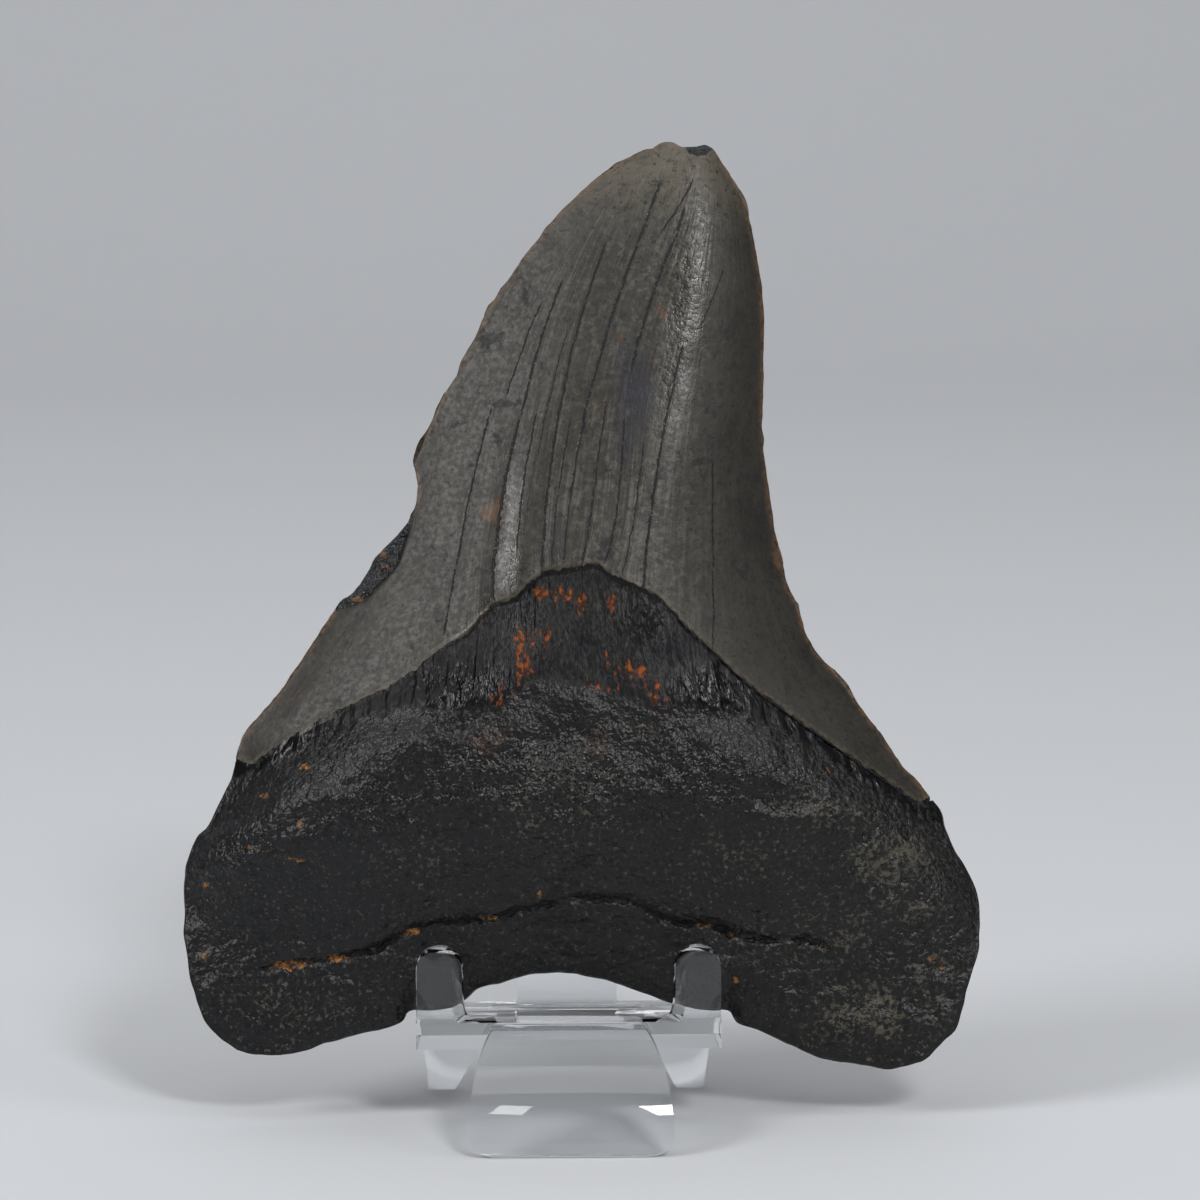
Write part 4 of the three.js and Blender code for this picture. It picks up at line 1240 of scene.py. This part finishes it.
def root_finish(f, m, colours):
    """Near-black, granular root with glossy grains, pale grains that are partly painted glints, and
    ochre in its pits and crack.
    """
    smoky = f.noise(m.plane, 0.11, 4, 0.65).rise(0.3, 0.7)
    colour = f.mix(smoky, tone(7, 7, 8), tone(20, 19, 18))
    colour = f.coats(colour, (m.across.fall(-32, 8) * 0.5, 12, 14, 20))
    grain = f.noise(m.plane, 1.7, 3, 0.65).rise(0.36, 0.6)
    colour = f.mix(grain, f.mix(0.85, colour, (0, 0, 0), "MULTIPLY"), colour)
    patchy = f.noise(m.plane, 0.3, 3, 0.7).rise(0.3, 0.6)
    speckle = f.noise(m.plane, 1.6, 3, 0.7)
    # Pale grains: partly the root's own pale speckles, partly painted glints that stand in for
    # sparkle highlights.
    pale = (m.pale_grain * patchy * 0.2 + speckle).rise(0.56, 0.74)
    brown = (m.brown_patch * 0.2 + f.noise(m.plane, 2.1, 3, 0.7)).rise(0.62, 0.8)
    ochre = (m.ochre * 0.3 + f.noise(m.plane, 0.95, 4, 0.75, 0.4)).rise(0.68, 0.8)
    crack_side = m.crack + f.noise(m.plane, 0.5, 3, 0.65) * 2.4 - 1.2
    wide = f.noise(m.plane, 0.6, 1, 0.7).rise(0.35, 0.65)
    crack = abs(crack_side).fall(0.1, 0.2 + wide * 0.4) * f.noise(m.plane, 0.35, 2).rise(0.38, 0.5)
    colour = f.coats(colour, (pale * 0.8, 84, 80, 68), (brown * 0.7, 76, 50, 35), (crack, 4, 4, 4))
    colour = f.mix(ochre, colour, f.mix(m.grit, tone(84, 50, 22), colours.ochre))
    gloss = m.glossy_grain
    roughness = 0.4 - gloss * 0.12 + ochre * 0.3 + crack * 0.3 + pale * 0.15
    facets = f.noise(m.plane, 1.7, 1.5, 0.5) * (0.22 + gloss * 0.2)
    beads = f.domes(m.plane, 1.5) * (0.02 + gloss * 0.07)
    return colour, roughness, facets + beads + f.noise(m.plane, 0.5, 1, 0.5) * 0.5 - crack * 0.5


def chip_finish(f, m, colours):
    """Broken inside of the crown: rough blue-black with ochre scale."""
    rough = f.noise(m.plane, 0.9, 3, 0.7)
    colour = f.mix(rough.rise(0.35, 0.65), tone(6, 7, 10), tone(22, 24, 30))
    scale = (f.noise(m.plane, 0.9, 4, 0.75) + m.ochre * 0.2).rise(0.6, 0.7)
    return f.coats(colour, (scale * 0.85, 128, 84, 44)), 0.3 + scale * 0.4, rough * 0.8


SHARED_FIELDS = ["fan", "fan_gap", "enamel_drop", "band_drop", "rim_distance", "crack", "side_chip",
                 "tip_chip", "lingual"]


ENAMEL_IOR = 1.5
ACRYLIC_IOR = 1.49


def tooth_finish(colours):
    f = Finish("fossil")
    m = SimpleNamespace(**{name: f.field(name) for name in (*SHARED_FIELDS, *LINGUAL_MARKS)})
    m.plane = f.place("plane")
    m.across, m.up = (f.node("ShaderNodeSeparateXYZ", (), {0: m.plane}, axis) for axis in (0, 2))
    m.grit = f.noise(m.plane, 1.3, 4, 0.7).rise(0.35, 0.65)
    m.silk = grown(f, m, 12, 0.07, 4.0, 2, 0.6)
    sway = f.noise(m.plane, 0.25, 2, 0.5) * 0.5 + f.noise(m.plane, 1.6, 2, 0.6) * 0.4 - 0.45
    m.fissure = fissure_nearness(m.fan, m.fan_gap, m.up, sway) + (1 - m.lingual) * 9

    ragged = f.noise(m.plane, 0.9, 3, 0.7) - 0.5
    edge_noise = ragged * 0.9 + f.noise(f.vector(m.across * 0.55, m.up * 0.2), 1, 2) * 1.2 - 0.6
    past_enamel = (m.enamel_drop + edge_noise).rise(-0.04, 0.06)
    past_band = (m.band_drop + ragged * 3.4).rise(-0.4, 0.4)
    chipped = (m.side_chip + ragged * 0.5).rise(-0.1, 0.12)
    broken_tip = (m.tip_chip + ragged * 0.3).rise(-0.1, 0.12)

    def layer(finish, shine=0.5):
        colour, roughness, height = finish(f, m, colours)
        return f.principled({
            "Base Color": f.mix(1.0, colour, (colours.brightness,) * 3, "MULTIPLY"),
            "Roughness": roughness, "Normal": f.bump(height),
            "IOR": ENAMEL_IOR, "Specular IOR Level": shine,
        })

    lower = f.blend(past_band, layer(band_finish, 0.28), layer(root_finish, 0.38))
    whole = f.blend(past_enamel, layer(enamel_finish), lower)
    return f.finished(f.blend(chipped.most(broken_tip), whole, layer(chip_finish)))


def clear_finish(tint):
    """Clear moulded plastic with a faint swirl from the mould."""
    f = Finish("clear_plastic")
    place = f.node("ShaderNodeTexCoord", output=3)
    swirl = f.noise(place, 90, 2, 0.5)
    hairlines = f.noise(place, 900, 2, 0.5)
    return f.finished(f.principled({
        "Base Color": (*tint, 1), "Transmission Weight": 1.0, "IOR": ACRYLIC_IOR,
        "Roughness": hairlines.rise(0.55, 0.8) * 0.05 + 0.012,
        "Normal": f.bump(swirl * 0.05, 0.5),
    }))


def paper_finish(colour):
    f = Finish("studio_paper")
    fibres = f.noise(f.node("ShaderNodeTexCoord", output=3), 60, 4, 0.6)
    shade = f.mix(fibres * 0.06, colour, [part * 0.8 for part in colour])
    inputs = {"Base Color": shade, "Roughness": 0.7, "Specular IOR Level": 0.2}
    return f.finished(f.principled(inputs))


def add_object(name, mesh, material):
    piece = bpy.data.objects.new(name, mesh)
    bpy.context.scene.collection.objects.link(piece)
    mesh.materials.clear()
    mesh.materials.append(material)
    return piece


SENSOR_WIDTH = 36.0
CAMERA_RANGE = (0.01, 20)


def add_camera():
    """Camera at the photograph's place and angle."""
    low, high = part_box("display_stand")
    ground = np.array(((low.x + high.x) / 2, low.y + FOOT_REACH * MM, 0))
    ahead, right, above = (Vector(axis) for axis in view_axes())
    data = bpy.data.cameras.new("camera")
    data.sensor_width = SENSOR_WIDTH
    data.lens = SENSOR_WIDTH * FOCAL_PIXELS / PHOTO_SIDE
    data.clip_start, data.clip_end = CAMERA_RANGE
    camera = bpy.data.objects.new("camera", data)
    bpy.context.scene.collection.objects.link(camera)
    axes = Matrix((right, above, -ahead)).transposed().to_4x4()
    camera.matrix_world = Matrix.Translation(ground + camera_place() * MM) @ axes
    bpy.context.scene.camera = camera


# Lights in metres, as (name, place, what it points at, size)
MIDDLE = (0, 0, 0.07)
LIGHTS = [
    ("main_light", (-0.95, -0.5, 0.8), MIDDLE, (0.4, 0.4)),
    ("second_light", (0.36, -0.8, 0.8), MIDDLE, (0.2, 0.24)),
    ("side_light", (0.95, -0.4, 0.55), MIDDLE, (0.5, 0.5)),
    ("top_light", (0, 0.2, 1.3), (0, 0.2, 0), (2.0, 1.5)),
]
SURROUNDINGS = (0.1, 0.102, 0.107, 1)


def add_light(name, place, aim, size, power):
    data = bpy.data.lights.new(name, "AREA")
    data.shape = "RECTANGLE"
    data.size, data.size_y = size
    data.energy = power
    lamp = bpy.data.objects.new(name, data)
    bpy.context.scene.collection.objects.link(lamp)
    lamp.location = place
    lamp.rotation_euler = (Vector(aim) - Vector(place)).to_track_quat("-Z", "Y").to_euler()


SWEEP_HALF_WIDTH = 2.5
SWEEP_FRONT = -1.6
SWEEP_BACK = 1.3
SWEEP_RADIUS = 0.5
SWEEP_TOP = 2.2
SWEEP_FLOOR = -0.00012
SWEEP_FOLDS = (-0.4, 0.3)
SWEEP_STEPS = 24


def sweep_mesh():
    """Floor that curves up into a backdrop."""
    profile = [(y, SWEEP_FLOOR) for y in (SWEEP_FRONT, *SWEEP_FOLDS)]
    for i in range(SWEEP_STEPS + 1):
        angle = math.pi / 2 * i / SWEEP_STEPS
        profile.append((SWEEP_BACK - SWEEP_RADIUS + SWEEP_RADIUS * math.sin(angle),
                        SWEEP_FLOOR + SWEEP_RADIUS - SWEEP_RADIUS * math.cos(angle)))
    profile.append((SWEEP_BACK, SWEEP_TOP))
    points = [(x, y, z) for y, z in profile for x in (-SWEEP_HALF_WIDTH, SWEEP_HALF_WIDTH)]
    faces = [(2 * i, 2 * i + 1, 2 * i + 3, 2 * i + 2) for i in range(len(profile) - 1)]
    mesh = bpy.data.meshes.new("sweep")
    mesh.from_pydata(points, [], faces)
    mesh.shade_smooth()
    return mesh


def factor(name, description):
    return FloatProperty(name=name, description=description, default=1.0, min=0)


def colour_of(name, piece, default):
    return FloatVectorProperty(
        name=name, description=f"Colour of {piece}", default=default, subtype="COLOR", min=0, max=1,
    )


def power_of(name, place, default):
    description = f"Power of the light {place}"
    return FloatProperty(name=name, description=description, default=default, min=0, unit="POWER")


class ToothSettings(bpy.types.PropertyGroup):
    relief: factor("Relief", "Strength of the lumps and grains")
    brightness: factor("Tone", "Brightness of the whole tooth")
    enamel: colour_of("Enamel", "the enamel's pale clouds", tone(70, 67, 59))
    rust: colour_of("Rust", "the rust on the dark band", tone(148, 76, 30))
    ochre: colour_of("Ochre", "the ochre in the root's pits", tone(160, 110, 54))


class StandSettings(bpy.types.PropertyGroup):
    edge_round: FloatProperty(
        name="Edge rounding", description="Radius of the easel's moulded edges", default=0.0003,
        min=0, unit="LENGTH", precision=5,
    )
    tint: colour_of("Tint", "the clear plastic", (0.975, 0.985, 0.99))


class StudioSettings(bpy.types.PropertyGroup):
    paper: colour_of("Paper", "the floor and backdrop", (0.62, 0.635, 0.66))
    main_light: power_of("Main light", "on the left", 7.1)
    second_light: power_of("Second light", "above the camera", 5.4)
    side_light: power_of("Side light", "on the right", 1.7)
    top_light: power_of("Backdrop light", "over the backdrop", 9.6)


class FOSSIL_OT_add_tooth(bpy.types.Operator):
    """Adds the tooth in place of its plain solid"""

    bl_idname = "fossil.add_tooth"
    bl_label = "Add tooth"

    def execute(self, context):
        settings = context.scene.fossil_tooth
        tooth = add_object("fossil_tooth", tooth_mesh(settings.relief), tooth_finish(settings))
        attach(tooth, "root")
        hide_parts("tooth")
        return {"FINISHED"}


class FOSSIL_OT_add_stand(bpy.types.Operator):
    """Adds the clear easel in place of its plain solid"""

    bl_idname = "fossil.add_stand"
    bl_label = "Add easel"

    def execute(self, context):
        settings = context.scene.fossil_stand
        finish = clear_finish(settings.tint)
        easel = add_object("clear_easel", stand_mesh(settings.edge_round), finish)
        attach(easel, "root")
        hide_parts("display_stand")
        return {"FINISHED"}


class FOSSIL_OT_add_studio(bpy.types.Operator):
    """Adds the pale floor and backdrop, the lights and the camera"""

    bl_idname = "fossil.add_studio"
    bl_label = "Add studio"

    def execute(self, context):
        settings = context.scene.fossil_studio
        add_object("backdrop", sweep_mesh(), paper_finish(settings.paper))
        for light in LIGHTS:
            add_light(*light, getattr(settings, light[0]))
        world = bpy.data.worlds.new("studio")
        world.use_nodes = True
        world.node_tree.nodes["Background"].inputs["Color"].default_value = SURROUNDINGS
        context.scene.world = world
        context.scene.view_settings.view_transform = "Standard"
        add_camera()
        return {"FINISHED"}


class FOSSIL_PT_panel(bpy.types.Panel):
    """Lists the pieces and their settings"""

    bl_label = "Megalodon tooth"
    bl_idname = "FOSSIL_PT_panel"
    bl_space_type = "VIEW_3D"
    bl_region_type = "UI"
    bl_category = "Fossil"

    def draw(self, context):
        for part in ("tooth", "stand", "studio"):
            box = self.layout.box()
            settings = getattr(context.scene, f"fossil_{part}")
            for name in settings.__annotations__:
                box.prop(settings, name)
            box.operator(f"fossil.add_{part}")


CLASSES = (
    ToothSettings, StandSettings, StudioSettings, FOSSIL_OT_add_tooth, FOSSIL_OT_add_stand,
    FOSSIL_OT_add_studio, FOSSIL_PT_panel,
)


def register():
    for kind in CLASSES:
        bpy.utils.register_class(kind)
    bpy.types.Scene.fossil_tooth = PointerProperty(type=ToothSettings)
    bpy.types.Scene.fossil_stand = PointerProperty(type=StandSettings)
    bpy.types.Scene.fossil_studio = PointerProperty(type=StudioSettings)


def unregister():
    del bpy.types.Scene.fossil_studio
    del bpy.types.Scene.fossil_stand
    del bpy.types.Scene.fossil_tooth
    for kind in reversed(CLASSES):
        bpy.utils.unregister_class(kind)


def main():
    register()
    bpy.ops.fossil.add_tooth()
    bpy.ops.fossil.add_stand()
    bpy.ops.fossil.add_studio()


if __name__ == "__main__":
    main()
